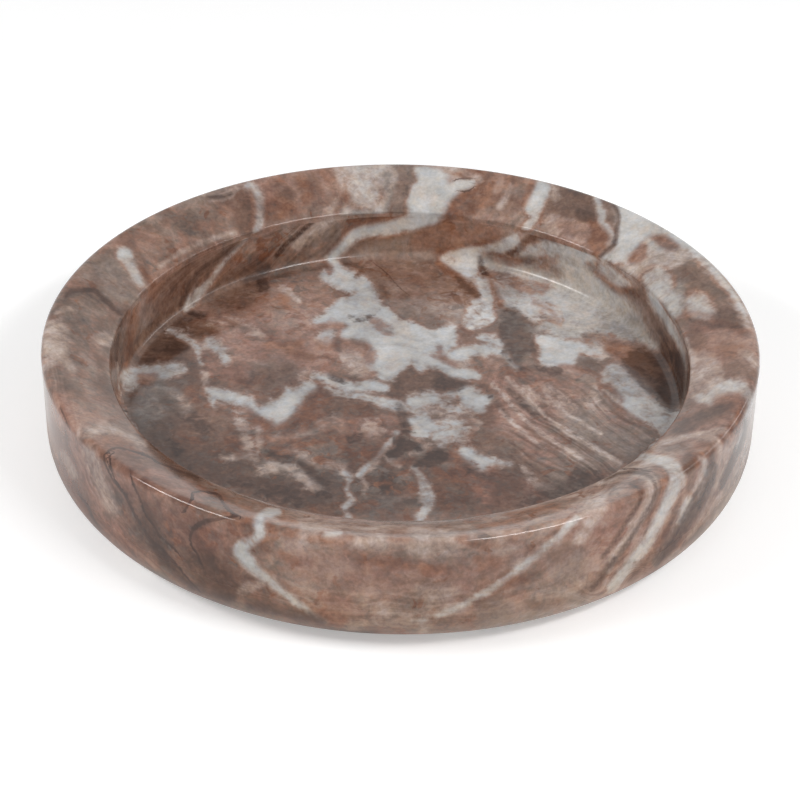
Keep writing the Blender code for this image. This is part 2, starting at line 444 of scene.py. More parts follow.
        (1.2, .8, "602,389,2 609,395,3 616,402 622,407,2"), (1.5, .55, "520,380,2 532,392 548,404"),
        (2, .5, "590,352 600,350 606,356 598,360"), (2, .8, "204,374,3 206,384,5 208,392"),
        (2, .75, "245,425,5 247,438,6 249,448 252,456,4"),
        (3, .45, "330,464,5 345,468,6; 366,360,5 380,356,8 392,364,6"),
    ],
    "white": [
        (1.5, 1, "446,213,6 432,219,10 415,222,12 400,225 388,228,11 376,230,10 366,231,9 355,235 "
         "347,241 341,248 334,254 331,260,8 336,268; 322,275 328,270 336,268 346,269 352,271 358,278 "
         "365,279 369,284 374,290 377,295 379,301 383,304 390,309 396,314 402,320 413,323 423,328 "
         "429,331 436,331 445,325 455,327 457,333 453,345 446,352 437,358 435,367 429,366 423,370 "
         "418,370 413,363 409,363 402,369 396,374 391,380 385,380 379,377 376,370 368,366 366,358 "
         "371,350 368,342 358,340 346,339 341,336 343,330 346,325 336,322 327,323 317,323 313,320 "
         "321,315 328,311 335,304 341,298 346,298 354,295 357,292 347,292 339,290 333,287 328,282 "
         "324,278; 312,377,3 321,378,7 331,381,8 342,385,9 353,388 364,387 375,386 384,389,6; 406,402 "
         "409,396 420,395 430,392 439,397 438,403 431,405 424,405 419,408 411,407; 408,419 416,416 "
         "427,415 431,418 433,423 439,427 438,432 431,432 428,437 420,438 410,434 414,428 410,424; "
         "459,393 461,388 471,388 476,391 485,394 493,398 487,405 483,412 475,413 472,408 464,406 "
         "460,400; 452,356,8 466,353,10 478,351,9 490,350,8 500,351,6 506,356,5 510,362,4 516,368,3; "
         "538,336 546,333 558,339 571,341 582,344 595,350 600,352 590,351 580,352 578,354 575,360 "
         "573,364 558,364 544,364 540,360 541,352 539,343; 650,276,12 655,300,9 663,315,7 672,330,6 "
         "680,345,4 684,360,3 686,370,2; 460,449 468,446 475,451 486,456 497,459 494,464 488,465 "
         "483,470 477,470 471,464 463,457"),
        (2, .9, "320,333 330,330 334,334 330,341 321,341"),
        (1.5, .9, "326,387,3 337,393,5 348,394 359,396 372,399 381,402,6 392,405,9 407,407,6; "
         "479,337,3 487,338,5 495,340 502,344,3"),
        (2, .8, "411,409 418,406 424,408 424,416 416,414; 600,265 612,268 622,278 628,285 620,286 "
         "610,280 603,272; 530,247,4 536,249,5 542,254,4"),
        (1.5, .95, "433,436 442,430 447,438 446,444 440,447 435,443; 441,258 450,252 465,249 485,246 "
         "497,243 512,236 518,234 517,243 510,250 500,253 490,252 483,256 478,263 478,270 473,275 "
         "462,273 452,268 444,262; 478,278 488,280 490,290 492,300 491,312 494,320 485,325 478,328 "
         "470,328 463,322 468,315 470,308 475,300 480,297 481,290; 493,283 500,287 505,295 515,299 "
         "530,300 545,303 555,310 560,318 558,322 545,318 535,322 525,315 517,308 507,307 500,300; "
         "414,468,4 419,474 422,482,6 426,489,10 427,497,12 428,505,9 424,512,6 417,520,4"),
        (3, .75, "441,424 450,420 458,423 466,424 466,436 458,440 447,436"),
        (1.5, .85, "438,400 448,394 456,394 455,398 446,404 455,407 462,404 468,408 462,412 450,411 "
         "441,406"),
        (1.2, 1, "430,360,7 439,364,8 449,370,9 460,374,10 471,375,9 478,376,4"),
        (2.2, .9, "607,368 616,365 623,368 629,376 637,382 644,388 651,396 659,401 666,405 674,409 "
         "681,413 679,418 670,426 665,435 659,431 652,424 644,420 637,418 630,415 627,409 621,401 "
         "618,393 615,387 608,382 602,380 604,376"),
        (1.8, .78, "121,379 124,373 128,371 142,368 156,366 172,365 181,365 185,369 178,373 168,376 "
         "159,377 153,375 145,377 138,380 139,385 134,388 128,390 123,385"),
        (1.8, 1, "207,388 216,388 224,390 231,393 239,395 247,398 254,402 260,407 266,405 272,401 "
         "279,399 283,393 286,388 291,387 296,389 301,383 309,380 316,384 316,390 309,394 305,398 "
         "299,407 293,415 286,420 279,423 275,426 271,421 263,417 255,413 247,408 239,404 231,402 "
         "224,402 216,400 214,406 211,401 208,394"),
        (1.5, .8, "246,240,2 235,250 225,262 217,272,3 210,281,4 203,288,5 197,294,8 192,300,9 "
         "186,308,5; 494,462,3 501,463 509,464,4"),
        (2, .75, "209,341,5 216,346,7 222,353,8 225,360,5"),
        (1.3, .6, "169,330,2 179,336,3 190,341 197,348 199,357,2 201,364"),
        (1.2, .8, "397,433,3 392,440 385,447 379,455,2 372,462 365,469,3 360,476"),
        (1.5, .7, "345,472,2 350,480 347,490 352,500 345,508,3 348,516,4"),
    ],
    "rust": [
        (2, .85, "139,378 147,375 154,377 152,384 144,386 139,384; 585,340,2 600,335,3 612,338,4 "
         "618,342 632,343,3 645,346; 254,421,4 263,425,6 272,430,4"),
        (2, .7, "245,252,3 230,264,4 214,280,3; 371,321,3 381,325,5 390,329,3; 318,442,2 329,437,3 "
         "342,431,4 352,426,3; 608,350,2 620,353,3 628,358; 140,300,2 133,325,3 130,350 126,365,2; "
         "296,409,3 306,402,4 313,394,5 318,388,4; 282,434,3 296,427,4 310,420 326,414,3; 584,338,3 "
         "600,336,4 616,340 630,345,5 642,347,4"),
        (1.5, .7, "205,315,2 220,318 235,324 250,330; 262,438,2 280,441,3 300,440 318,437,2; 264,446,2 "
         "285,448,3 305,446,2"),
        (3, .8, "276,297 286,296 290,302 287,308 280,306"),
        (3, .65, "322,342,3 335,344,5 350,344,6 362,346,5 369,349,3; 435,470,4 450,474,6 468,472,5 "
         "480,476,4 494,478; 486,272,5 498,275,6 510,280,7 522,287,8 536,288 546,286,6"),
        (2, .6, "300,432,2 315,426 330,420; 262,436,3 284,442,4 310,438,3 330,432; 448,452,3 458,458,4 "
         "470,465 478,470,3; 396,462,3 408,462,4 414,458,3; 614,349,3 624,356,4 634,362,3; 240,380,4 "
         "250,384,5 262,380,3; 316,380,4 320,388,5 318,396,4; 446,455,4 458,463 470,471 482,476,3"),
        (1.5, .6, "537,270,2 545,266,3 553,261 557,257,2; 560,366,2 574,367 588,371,3 600,378"),
        (2, .8, "250,408,3 254,416 262,420 270,424,4 278,428 288,422,3 296,414 306,404 314,397,4; "
         "190,389,4 196,394,6 198,402,5; 587,264,2 597,272,3 607,281 617,288 627,291; 482,270,5 "
         "496,275,6 508,281 520,288,5; 516,252,3 522,245,4 530,239 542,237,3"),
        (3, .7, "186,386 196,388 200,396 192,402 186,396; 343,440 352,434 366,436 376,444 384,450 "
         "372,458 356,460 344,452"),
        (3, .6, "616,350 630,352 634,362 628,366 620,360; 322,343,5 340,343,8 358,346 368,352,6 "
         "370,360,5; 268,343,5 284,346,6 300,344,5"),
        (3, .5, "325,424 345,420 352,428 335,436; 650,352 665,356 678,370 672,376 655,362 640,356"),
        (1.5, .85, "141,288,3 136,303,4 132,320 129,338 127,360"),
        (1.8, .75, "392,216,3 375,219,4 360,222 350,227 344,235 337,244 328,252,3"),
        (1.5, .8, "440,218,3 455,219 470,220 488,221,2; 535,269,2 545,264,3 554,260; 206,317,3 "
         "214,317,4 222,319,3; 328,433,3 338,429,4 348,426,3"),
        (1.5, .9, "324,261,3 329,266,4 330,273"),
        (3, .45, "430,226 460,224 490,228 500,236 470,242 440,246 410,248"),
        (2.5, .7, "371,317 380,320 388,326 391,332 382,332 374,326; 290,352,4 302,355,5 312,357,3"),
        (2.5, .6, "322,327,5 333,325,6 344,326,4; 228,440,5 236,448 240,456,3; 150,300,5 158,280,6 "
         "172,262 190,250,5 212,240,4"),
        (1.6, .95, "438,262,4 447,269,5 456,276 464,284 471,291 477,297,3"),
        (1.8, .9, "436,254,5 450,248 468,244,4 486,242 498,240,3"),
        (1.8, .95, "491,283,3 496,290,5 499,298 501,305,4; 509,253,3 516,251,4 521,246 526,240,5 "
         "535,236"),
        (2.5, .75, "484,254,4 495,257,6 508,262,7 520,262,6 532,262,5 544,258,4 555,261; 336,432,5 "
         "346,440,7 358,448,8 372,455,6"),
        (1.5, .75, "534,302,2 545,307 553,313,3 558,321 548,318 541,313,2"),
        (1.8, .8, "439,347,3 440,353 434,355 446,360 455,366,4"),
        (2.5, .65, "345,452,6 360,458 350,466,5"), (2, .55, "440,474,3 455,478,4 472,482,3"),
        (2, .5, "440,492,3 452,498,4 466,500,3"), (1.3, .75, "601,386,2 610,388,3 617,393 622,400"),
        (1.2, .8, "599,389,2 606,396 613,403 621,409,3 631,416 642,422,2"),
        (1.6, .7, "592,336,3 606,340,4 620,346 636,352,3"),
        (2, .9, "141,377,5 148,379,7 155,376,4; 246,404,3 250,411,5 257,418; 536,270,3 544,266,4 "
         "552,261 557,256,3"),
        (2, .75, "230,434,4 236,440,5 240,446,4"),
        (3, .85, "322,396,9 315,407,10 305,419 295,429,9 284,436,7"),
        (2.5, .85, "338,440,5 350,448,12 364,452 375,450,6"),
    ],
    "umber": [
        (3, 1, "632,352 640,350 655,354 668,350 680,352 685,365 687,380 685,395 680,407 672,409 "
         "660,402 650,394 640,384 630,372 624,364 628,357"),
        (2.5, .65, "505,310 515,311 525,318 533,323 537,326 530,335 532,345 533,352 525,352 520,365 "
         "512,367 505,360 503,352 505,345 501,335 500,325"),
        (5, .85, "545,490 560,488 575,474 590,470 603,476 600,484 580,494 560,500 545,502 530,506 "
         "520,502"),
        (3, .8, "436,380 450,379 463,383 458,388 444,388 436,386; 351,438 358,436 364,441 360,445 "
         "352,443"),
        (1.5, .9, "267,452,2 272,454,4 279,458 287,457 293,459,3"),
        (2, .95, "314,497,5 321,494,7 330,496,5"),
        (3, .7, "380,478 390,475 393,482 388,490 381,487; 470,470,3 480,476,4 492,478,3"),
        (1.5, .95, "543,370 552,368 561,370 561,375 550,376; 250,231,3 240,239,4 230,248,5 221,256,6 "
         "211,264,7 203,269 197,275,6 191,284,5 187,293,4 183,302 181,310,2; 395,437,4 397,446,8 "
         "396,455,6; 384,477,5 387,484,7 384,490,5"),
        (1.2, 1, "321,215,3 312,222,4 303,230 295,237 287,243 281,250 275,257,3"),
        (2, .9, "480,258,4 481,265,5 484,272; 262,491,6 272,495,9 284,496,7 298,500,6"),
        (2, .8, "509,368,2 530,369,3 544,368; 267,452,2 275,457,3 284,460 292,460; 150,347,4 158,349,5 "
         "168,347,4"),
        (2.5, .8, "660,330,3 666,340,4 662,350,3"),
        (3, .6, "150,345,5 165,347,6 185,348,5; 172,440,6 178,452,7"),
        (2.5, .85, "247,279,4 256,276,7 264,270,8 268,267,5"), (2.5, .75, "261,280,9 264,288,8"),
        (1.8, .25, "508,253,3 515,252,4 520,247 525,241,5 533,237 545,237 557,240,3"),
        (1.5, .75, "350,317,4 356,319,5 365,318 374,313,4 380,309,2"),
        (1.8, .9, "458,279,3 463,284,5 469,290 476,296,4"), (2, .7, "330,377,4 337,379,5 343,382,3"),
        (1.6, 1, "396,439 401,435 408,438 414,442 420,446 424,450 418,451 410,449 403,452 397,457 "
         "390,458 385,454 389,450 395,446; 432,450 438,448 444,450 448,456 446,461 440,464 430,465 "
         "420,466 413,466 416,461 424,457 428,452"),
        (2.5, .7, "350,436 360,437 364,442 356,445 350,442; 300,462,4 308,470,6 316,478 326,484,5"),
        (3, .75, "258,489 272,487 290,490 300,496 302,505 290,502 270,500 260,496"),
        (3, .5, "182,414,8 196,420,9 206,432,8; 232,482,5 250,484; 400,408,5 404,420 408,432,4"),
        (1.5, .8, "519,368,2 532,368,3 544,370,5 556,372 560,373,4; 350,438,4 357,439,6 364,443,4"),
        (1.8, .45, "508,388,3 518,398,4 528,408 538,416,3"), (1.8, .4, "486,392,3 498,404 508,416"),
        (1.5, 1, "190,314,5 197,315,6 205,316,4; 315,496,4 322,493,7 331,497,4"),
        (1.5, .85, "181,307,2 186,294,3 194,280,4 206,268 222,258,3 238,246 251,235,2"),
    ],
}
rimMarks = {
    "streaky": [
        (8, 1, "600,470 700,420 752,400 752,440 700,530 640,580 590,600 600,540"),
        (8, .9, "42,370 90,410 110,450 130,520 160,580 110,560 60,480"),
    ],
    "calm": [
        (8, .8, "150,200 300,160 500,165 620,205 620,255 500,215 300,212 200,240 150,290 110,340 "
         "60,340 100,260"),
        (8, .7, "110,465 150,460 210,490 235,530 240,580 200,590 150,560 118,510"),
    ],
    "flecked": [
        (8, .9, "175,490 240,500 250,530 240,580 200,580 170,540"),
    ],
    "rose": [
        (8, .8, "150,478 190,492 190,520 180,540 165,520 145,495"),
        (8, .7, "118,455 150,468 150,482 130,490 116,475; 195,528 235,528 232,545 200,548; 690,445 "
         "735,420 742,440 715,500 670,560 630,590 600,600 615,565 645,530 668,500"),
        (8, .6, "560,540 620,510 635,525 600,560 570,575"),
        (6, .3, "560,222 600,225 612,240 600,250 570,235"),
        (7, .6, "690,326 740,330 744,356 705,356; 300,556 360,562 430,568 500,566 520,582 470,590 "
         "380,588 310,576"),
        (8, .5, "240,185 300,172 330,180 325,200 270,205; 440,598 500,596 520,600 480,612"),
        (6, .6, "320,600 345,600 360,615 330,618"),
        (5, .6, "700,395 730,388 744,395 746,430 736,450 715,440 690,440 690,420"),
        (6, .5, "690,350 720,340 750,345 750,360 700,365; 116,462 150,470 185,492 175,520 150,510 "
         "128,488"),
        (6, .8, "52,400 66,402 78,440 92,480 114,520 140,556 126,560 98,536 76,505 62,465"),
    ],
    # broad soft places made paler: partly the stone's own lighter tone, partly painted light, as along the
    # top of the front wall
    "paleAndPaintedLight": [
        (3, .9, "108,278 128,282 138,288 137,302 125,303 112,295 104,286"),
        (3, .6, "44,330 56,326 62,345 60,360 46,362"), (4, .7, "500,205 525,208 522,222 500,218"),
        (4, .6, "715,290 740,300 744,312 722,306; 610,215,8 620,235"),
        (8, .9, "690,355 757,335 757,370 740,385 690,385"),
        (9, .8, "490,515 560,495 620,480 620,505 560,525 500,535"),
        (8, .7, "285,520 330,520 330,545 285,540"), (8, .5, "310,165 400,160 400,185 310,190"),
        (7, .6, "55,405 100,420 140,440 120,445 60,425"),
        (9, .6, "560,555 610,585 640,590 600,620 540,628"),
        (6, .8, "655,445 690,435 706,455 690,500 665,545 640,560 650,520 668,490"),
        (5, .7, "150,190,8 170,200,10 190,205; 300,195,8 320,185,12 322,165,10; 475,165,10 500,180,14 "
         "522,190,12"),
        (5, .6, "370,185,8 380,190,10; 612,344 630,340 634,372 618,382; 672,344 688,342 692,380 "
         "686,402 676,396; 552,546 580,538 610,544 600,558 566,562; 472,606 500,600 530,604 524,616 "
         "486,620"),
        (10, .05, "235,545 300,540 400,545 500,545 520,570 480,600 420,605 340,605 270,595 240,570"),
        (5, .5, "676,262 700,258 718,275 728,295 722,306 700,290 682,285; 228,206 246,198 256,214 "
         "244,236 232,232"),
        (5, .8, "308,168 326,160 342,164 330,180 312,182; 512,184 526,180 532,196 518,202"),
        (6, .7, "272,206 300,198 336,200 330,216 296,222"),
        (5, .9, "452,166 474,160 494,164 484,178 458,182; 550,246 574,238 594,246 588,262 562,266; "
         "608,266 624,258 636,272 624,284; 372,172 396,170 404,192 392,212 374,206"),
    ],
    # broad soft places made darker: partly the stone's own darker tone, partly painted shade, as at the
    # foot of the front wall and at the far left and right of the outer wall
    "dimAndPaintedShade": [
        (5, .6, "262,190 300,182 320,190 320,214 268,222"),
        (3, .8, "714,310 728,308 740,314 740,324 726,322 714,318"),
        (14, 1, "60,440 110,455 160,500 200,530 260,560 270,600 200,590 130,550 80,500"),
        (12, .8, "700,440 745,420 740,480 690,550 650,580 660,520"),
        (10, .75, "180,190 240,185 250,240 200,240"), (9, .7, "55,290 110,290 110,330 60,330"),
        (8, .6, "390,190 410,190 410,222 360,228 345,215"),
        (7, 1, "745,400 757,380 752,440 735,490 700,545 650,585 660,560 700,510 730,450"),
        (7, .9, "112,425 150,440 190,462 200,478 160,468 120,450"),
        (6, .8, "165,485 215,490 225,505 180,505"),
        (8, 1, "738,430 756,410 750,460 730,510 705,550 690,560 700,530 722,485"),
        (6, .6, "610,485 640,480 645,500 620,505"),
        (5, 1, "54,412 66,410 73,430 80,458 92,488 108,516 128,545 140,562 124,560 100,540 80,512 "
         "66,480 56,445; 752,432 752,475 738,502 722,526 703,548 684,566 668,562 684,540 702,518 "
         "715,492 722,462 738,445"),
        (8, .5, "348,548 400,556 470,552 524,558 532,574 498,596 440,604 392,584 360,566"),
        (4, 1, "322,623 350,628 378,630 370,637 330,632"),
        (4, .9, "674,424 684,417 695,426 688,442 676,440"),
    ],
    "milk": [
        (3, 1, "612,205 640,218 665,232 690,250 700,262 690,262 672,262 668,275 680,300 684,312 "
         "672,316 662,300 652,285 645,276 630,272 615,262 600,256 612,246 616,228"),
        (3, .6, "346,166 372,165 392,167 394,185 388,200 384,212 350,213 342,212 346,204 352,200 "
         "350,186; 664,290 680,286 686,300 680,314 668,310"),
        (2, .8, "645,284,3 652,294 660,306 668,320 674,334 680,348 686,364 689,378"),
    ],
    "slate": [
        (5, .65, "96,268 112,262 124,266 132,276 138,290 130,300 118,300 106,290"),
        (5, .6, "387,168 400,166 414,170 416,185 410,198 408,212 392,212 385,204 388,190"),
        (6, .4, "480,605 500,600 505,615 485,622"),
        (6, .35, "560,555 580,550 575,575 560,580; 678,266 700,264 716,276 728,292 738,312 720,318 "
         "706,304 690,296"),
        (1.5, .9, "79,313,2 84,319,4 88,323,3"),
        (3, .8, "552,187 575,191 595,197 608,202 617,210 618,222 600,218 585,221 570,218 556,212 "
         "548,206"),
        (4, .75, "680,262 690,254 700,258 712,268 720,278 724,290 722,302 715,310 705,298 695,295 "
         "688,292 674,288 671,278 675,268"),
    ],
    "brown": [
        (3, .75, "236,192 246,190 252,200 255,215 253,230 244,232 238,222 236,206"),
        (2.5, .5, "552,187 575,191 595,197 608,202 617,210 619,218 617,228 616,240 612,250 600,257 "
         "592,250 588,240 592,232 590,222 575,222 560,215 548,208 545,200"),
        (4, .35, "683,263 695,262 705,266 715,275 720,285 722,295 730,305 738,312 742,322 735,326 "
         "725,322 718,318 712,305 705,298 690,297 688,288 692,278 680,270"),
        (2.5, .4, "717,380,3 722,372,5 730,366 740,364 750,367,4 757,376,3"),
        (2.5, .8, "686,405,5 694,400,6 701,395,5 709,388,3"),
        (2.5, .75, "684,474,8 689,482,9 685,493 679,504 673,515 667,526 662,536,8 655,547 648,558 "
         "639,567,7 630,578,6"),
        (3, .7, "143,503,4 150,525,6 156,545,9 164,560,8; 702,455,3 706,450,5 714,452 712,462 "
         "707,474,4; 583,593,4 593,586,5 601,578 610,567,4; 733,505,5 722,520,8 708,536,10 694,550,9 "
         "680,562,7"),
        (5, .75, "188,556 205,552 218,560 228,575 236,590 225,600 205,592 192,575"),
        (4, .6, "100,385,5 115,400,7 130,418,5; 275,200 290,192 292,210 280,218; 556,556,8 566,548"),
        (4, .5, "66,385,5 80,395; 490,205 510,198 520,205 505,215; 300,180 315,176 316,190 304,200"),
        (3, .6, "60,430,4 66,455 76,480 88,505 98,528; 450,203,3 463,195,5 475,188 490,175,4; "
         "118,455,4 150,462 180,472,5 205,480,4"),
        (3, .55, "100,360,4 104,380,5 114,398,4"),
        (3, .5, "470,205,2 485,197,3 500,186 515,178,2; 530,604,5 545,606,6 556,602,5; 690,452,3 "
         "682,446,4 668,448 652,452,3; 690,330 700,333 706,345 698,352 688,345"),
        (5, .4, "725,345 740,350 745,358 728,356"),
        (1.5, .9, "127,303,4 124,315,5 121,328 118,342 114,357"),
        (2, .6, "220,199,5 228,202 233,199,3; 492,188,3 484,198,4 474,208 462,216,3; 716,378 726,368 "
         "738,364 752,366 756,376 744,378 728,382 716,388"),
        (2, .5, "146,228,4 156,229,5 166,222,4"),
        (2.5, .9, "682,424 694,414 708,407 722,403 734,402 730,412 716,418 700,424 688,432 676,436"),
        (2, .7, "690,402,4 698,397,5 705,393,3"), (4, .7, "38,400,4 43,440,8 53,480,10 67,515,9"),
        (2.5, .85, "666,438,5 680,431,8 694,424,5"), (3, .65, "112,424,6 130,436,8 150,448 170,462,6"),
        (2, .75, "690,470,6 688,482,8 684,496,6 678,508,5 672,520 664,536"),
        (4, 1, "40,395,5 42,415,9 45,440,14 50,465,15 58,488 70,512,14 86,536,12 108,560,10; 757,425,5 "
         "755,450,9 750,475,13 740,498,14 726,520 708,542,13 690,560,11"),
    ],
    "pearl": [
        (2, .7, "45,368,3 55,361,5 65,360 74,370,4; 375,167,2 388,168,3 395,176 390,188,2; 630,462,3 "
         "640,456,4 650,454,5 662,455 672,458,4; 700,296,6 704,306 702,314,4"),
        (3, .6, "96,338 108,334 112,340 104,346; 213,196,3 222,196,4 232,192,3; 602,508,5 594,517,6 "
         "585,530 579,539,5; 350,625,2 370,622,3 395,620,5 412,622 425,624,6 424,630,3; 336,166 "
         "350,165 352,180 344,188 338,178; 700,300,8 704,312,7; 82,434,4 94,431,6 106,429 116,431,5 "
         "128,437,4 142,443,3; 722,262,3 736,282 744,300,4 748,322"),
        (2.5, .85, "350,184 360,182 372,183 380,186 386,195 380,205 370,206 360,203 352,196"),
        # the third stroke here, along the crest at the back right, is a painted reflection as well
        (3, .7, "690,362 705,360 718,366 722,378 712,386 698,388 690,378; 666,566,3 676,556 690,545 "
         "712,520,4 728,495 738,470 746,440 751,410,3; 690,250,5 704,262,6 718,276 730,291 740,307 "
         "747,322,4; 744,430,4 741,450,6 736,468 728,486 719,502,5 708,520"),
        (2, .8, "600,484,2 612,477,3 623,471,5 634,466,6 643,463,8 654,462,9 664,461,8; 432,166 "
         "450,167 465,171 478,175 482,180 474,182 462,178 450,177 440,171; 502,182,4 499,187,5 "
         "495,192,3"),
        (1.2, .85, "640,478,2 646,479,3 650,487,4 650,496 648,504,3 643,514 639,521 634,529 629,537 "
         "623,547 615,560 607,572; 616,478,2 632,475 645,478 651,486,3 649,497 643,510 636,522 628,534 "
         "618,548 608,560; 737,420,2 738,434,3 733,450 725,468 716,486,2 707,504 698,522 688,538"),
        (1.2, .9, "698,452,2 703,452,3 705,459,4 703,468 701,477 697,488 692,499,5 686,509,6 683,517 "
         "676,526,5 670,537,4 667,545 661,554,3 654,564"),
        (1.5, .7, "640,450,2 660,444 674,440,3 690,436 701,434 714,432,4 722,430 727,433 728,443 "
         "725,452 720,465 715,477,3 706,495; 56,313,3 64,309 71,308 77,311,2; 693,396,3 704,388,4 "
         "712,380,3; 712,452,2 714,468,3 706,486 696,504 686,520"),
        (1.3, .8, "706,449,3 711,447,4 717,446 719,450 717,459 714,468 709,477,3 703,490 698,496; "
         "733,416,3 736,427 734,440 730,449,2"),
        (2, .85, "270,578,5 263,582,6 255,585,7 246,588 241,592,5"),
        (4, .55, "500,540 508,543 515,548 525,549 524,555 512,556 502,553"),
        (5, .4, "420,588 450,590 446,600 425,598; 380,606 395,610 390,616 378,612"),
        # painted light: the pale cream band along the front crest and the top of the front wall, where it
        # faces the light above
        (5, .5, "300,524 340,526 380,528 420,529 460,530 472,533 455,548 430,552 410,548 400,542 "
         "370,546 345,538 320,538 300,532"),
        (4, .4, "47,330 60,322 66,340 60,356 48,350"), (3, .5, "556,196,3 552,184,4 545,178"),
        (1.5, .6, "200,194,3 218,190,4 236,187 252,184,3; 686,340,3 690,360 688,385"),
        # painted highlight: a light line along the rounded inner lip at the left
        (1.5, .55, "160,266,2 175,256,3 195,246 215,238 235,233,2"),
        (2.5, .6, "334,186,5 334,198,6 331,211,5"),
        (2, .5, "511,186,3 506,196,4 500,206,3; 549,216 575,222 588,228 586,240 565,236 545,230"),
        (3, .8, "640,240 655,252 668,252 680,248 690,252 682,262 672,268 668,276 655,270 645,276 "
         "630,270 626,262 634,254"),
        (3, .75, "692,356 706,352 716,360 714,374 704,384 692,388 690,372"),
        (2, .6, "740,352,4 750,356,5 755,364,3; 60,452,3 66,462,4 74,476"),
        (2.5, .55, "600,501,4 590,508,5 580,515"), (1.2, .8, "622,470,2 635,466,3 648,464"),
        (1.2, .7, "640,481,2 646,489 643,502 636,514 628,526"),
        (1.2, .75, "700,450,2 704,456,3 704,464 700,474,2"),
        (4, .45, "88,450,4 96,470,5 104,490 114,510"),
        (2, .75, "640,475,3 650,477,4 656,484 655,496 648,510 640,524,3 632,538"),
        (2.5, .7, "698,436,4 712,438,5 718,448 714,462,4 706,478 698,492 689,506 680,520 671,536 "
         "662,551,3"),
    ],
    "white": [
        (1.5, 1, "118,251 125,248 131,251 132,257 126,260 119,258; 415,168 428,167 440,172 450,176 "
         "460,178 460,190 456,196 450,202 447,210 440,217 425,219 410,216 408,205 410,195 414,186 "
         "418,182 416,175; 455,181 473,180 474,186 466,190 458,190; 539,181 549,183 548,193 543,202 "
         "538,212 533,214 527,213 526,207 529,199 534,190; 277,512,7 270,513,9 262,517 258,525,10 "
         "260,532,9 255,540 245,545,11 240,550,13 244,557,12 250,563,11"),
        (2.5, .65, "126,257,6 130,264 134,271,5 138,278,4 141,284,2"),
        (2, .55, "248,185,4 256,191,5 259,200,6 260,212 258,224,5 255,231,3"),
        (1.5, .8, "536,214,5 532,221 527,227,4 524,229,2"),
        # painted reflection: a pale sheen along the crest at the back right
        (2, .9, "690,246,8 706,262,5 722,280,4 735,297,3 745,315,2"),
        (1.5, .9, "597,198,4 599,205 602,215,5 601,222,4 606,228 612,236,5 610,245"),
        (3, .5, "690,300 700,297 706,302 709,312 706,318 695,315 690,308"),
        (2.5, .85, "700,398,5 708,399,7 711,396 717,392 723,388,8 733,386,9 741,387,8 747,393,7 "
         "750,399,5 749,408,4 747,418,3 744,427 741,438 736,449,2"),
        # the first stroke here is a painted highlight spot just below the front crest; the rest is the
        # white wedge of the right rim
        (2, 1, "324,536,2 329,535,4 336,534 340,533,2; 617,200 640,211 655,220 672,231 690,244 700,254 "
         "690,252 678,244 668,237 655,235 645,238 640,246 632,254 626,262 618,261 606,261 600,257 "
         "612,250 617,240 619,228 619,212"),
        (3, .45, "352,183 364,180 372,184 377,192 374,200 362,203 352,199"),
        (2.5, .95, "645,276 656,270 668,275 669,287 662,293 654,297 649,288"),
        (1.8, .85, "248,562,8 256,571,7 264,577,6 272,583,5 281,590,4 290,598 299,605,5 306,610,4 "
         "316,617,2.5 326,622,2"),
        (2, .7, "578,518,2.5 566,528,3 555,539,3.5 542,550 530,560,3 519,569 508,577 497,585 484,593 "
         "472,600 458,607,2.5 444,613 430,618,2 412,622,1.5; 700,458,3 706,464 706,474"),
        (2, .6, "690,500,4 684,512,5 679,522,3"),
        (1.8, .95, "632,459,2.76 642,457,4.6 653,459,6.44 664,462,9.2 672,467,12 677,474,12.9 "
         "676,483,12 671,493,11 667,502,9.2 662,512,8.28"),
        (2.2, .8, "662,512,8.1 657,522 652,533 646,544,7.2 638,554 629,565,6.3 620,576 611,588,5.4"),
    ],
    "rust": [
        (1.5, .75, "141,268,3 147,275,4 152,284,3"),
        (1.5, .7, "250,189,2 255,200 256,212 251,231; 662,473,2 664,482,3 663,493,2 659,504 653,515"),
        (2, .75, "320,172,3 328,178,6 334,186,7 333,195,4; 324,169,4 331,178,6 334,187 333,196,5 "
         "329,203,3; 266,519,3 273,526,5 275,536 268,543 260,546,3; 661,470,4 664,480,5 662,492,4 "
         "657,504,3"),
        (3, .3, "560,222 590,226 612,238 606,248 590,240 565,232"),
        (2, .5, "641,245 646,248 645,256 638,261 630,262 628,257 635,252; 676,322,2 684,315,3 697,314 "
         "712,317,2; 532,184,4 528,194,5 524,203,4"),
        (2, .8, "654,237 662,236 670,240 678,246 668,250 662,245; 224,507 232,508 238,514 236,520 "
         "228,518; 252,546,3 259,543,4 268,541; 590,222,3 600,227,4 607,235 609,245,3; 588,238,3 "
         "593,247,4 600,255"),
        (3, .6, "715,397 735,396 746,400 744,410 730,410 718,404; 635,483 642,483 643,492 636,493; "
         "310,538,4 325,541,6 340,541 350,537,5; 511,556,4 524,552,5 538,551,3; 506,583,4 514,581,6 "
         "524,580,4; 450,180,4 470,172 490,168,3"),
        (2, .7, "131,471,2 138,466 145,470 147,476 143,481,3; 697,466,4 700,458,5 703,452,3; 655,467,3 "
         "663,473,5 665,482 662,492 657,503,4 652,514 646,525; 244,541,3 251,534,4 252,524 250,515,3"),
        (2.5, .85, "272,530,4 275,536,6 272,541,5"),
        (2, .6, "280,529,3 288,526 295,523 297,530 290,534; 506,515,2 525,512 545,508,3 558,506,2; "
         "684,470,3 692,462,5 699,454,4; 282,520,3 292,522,4 297,529 292,535,3 283,533; 700,321,2 "
         "716,322 732,326 742,331"),
        (3, .65, "264,549,3 279,553,5 290,558 297,562,3; 482,566,4 492,563,6 502,560,4"),
        (3, .8, "459,533 466,533 468,540 460,541"),
        (2, .95, "458,540,4 468,543 478,545 484,546 493,545,3"),
        (4, .8, "390,533 402,532 409,538 404,541 392,540"),
        (3, .55, "310,613 325,611 341,615 345,623 330,624 314,619"),
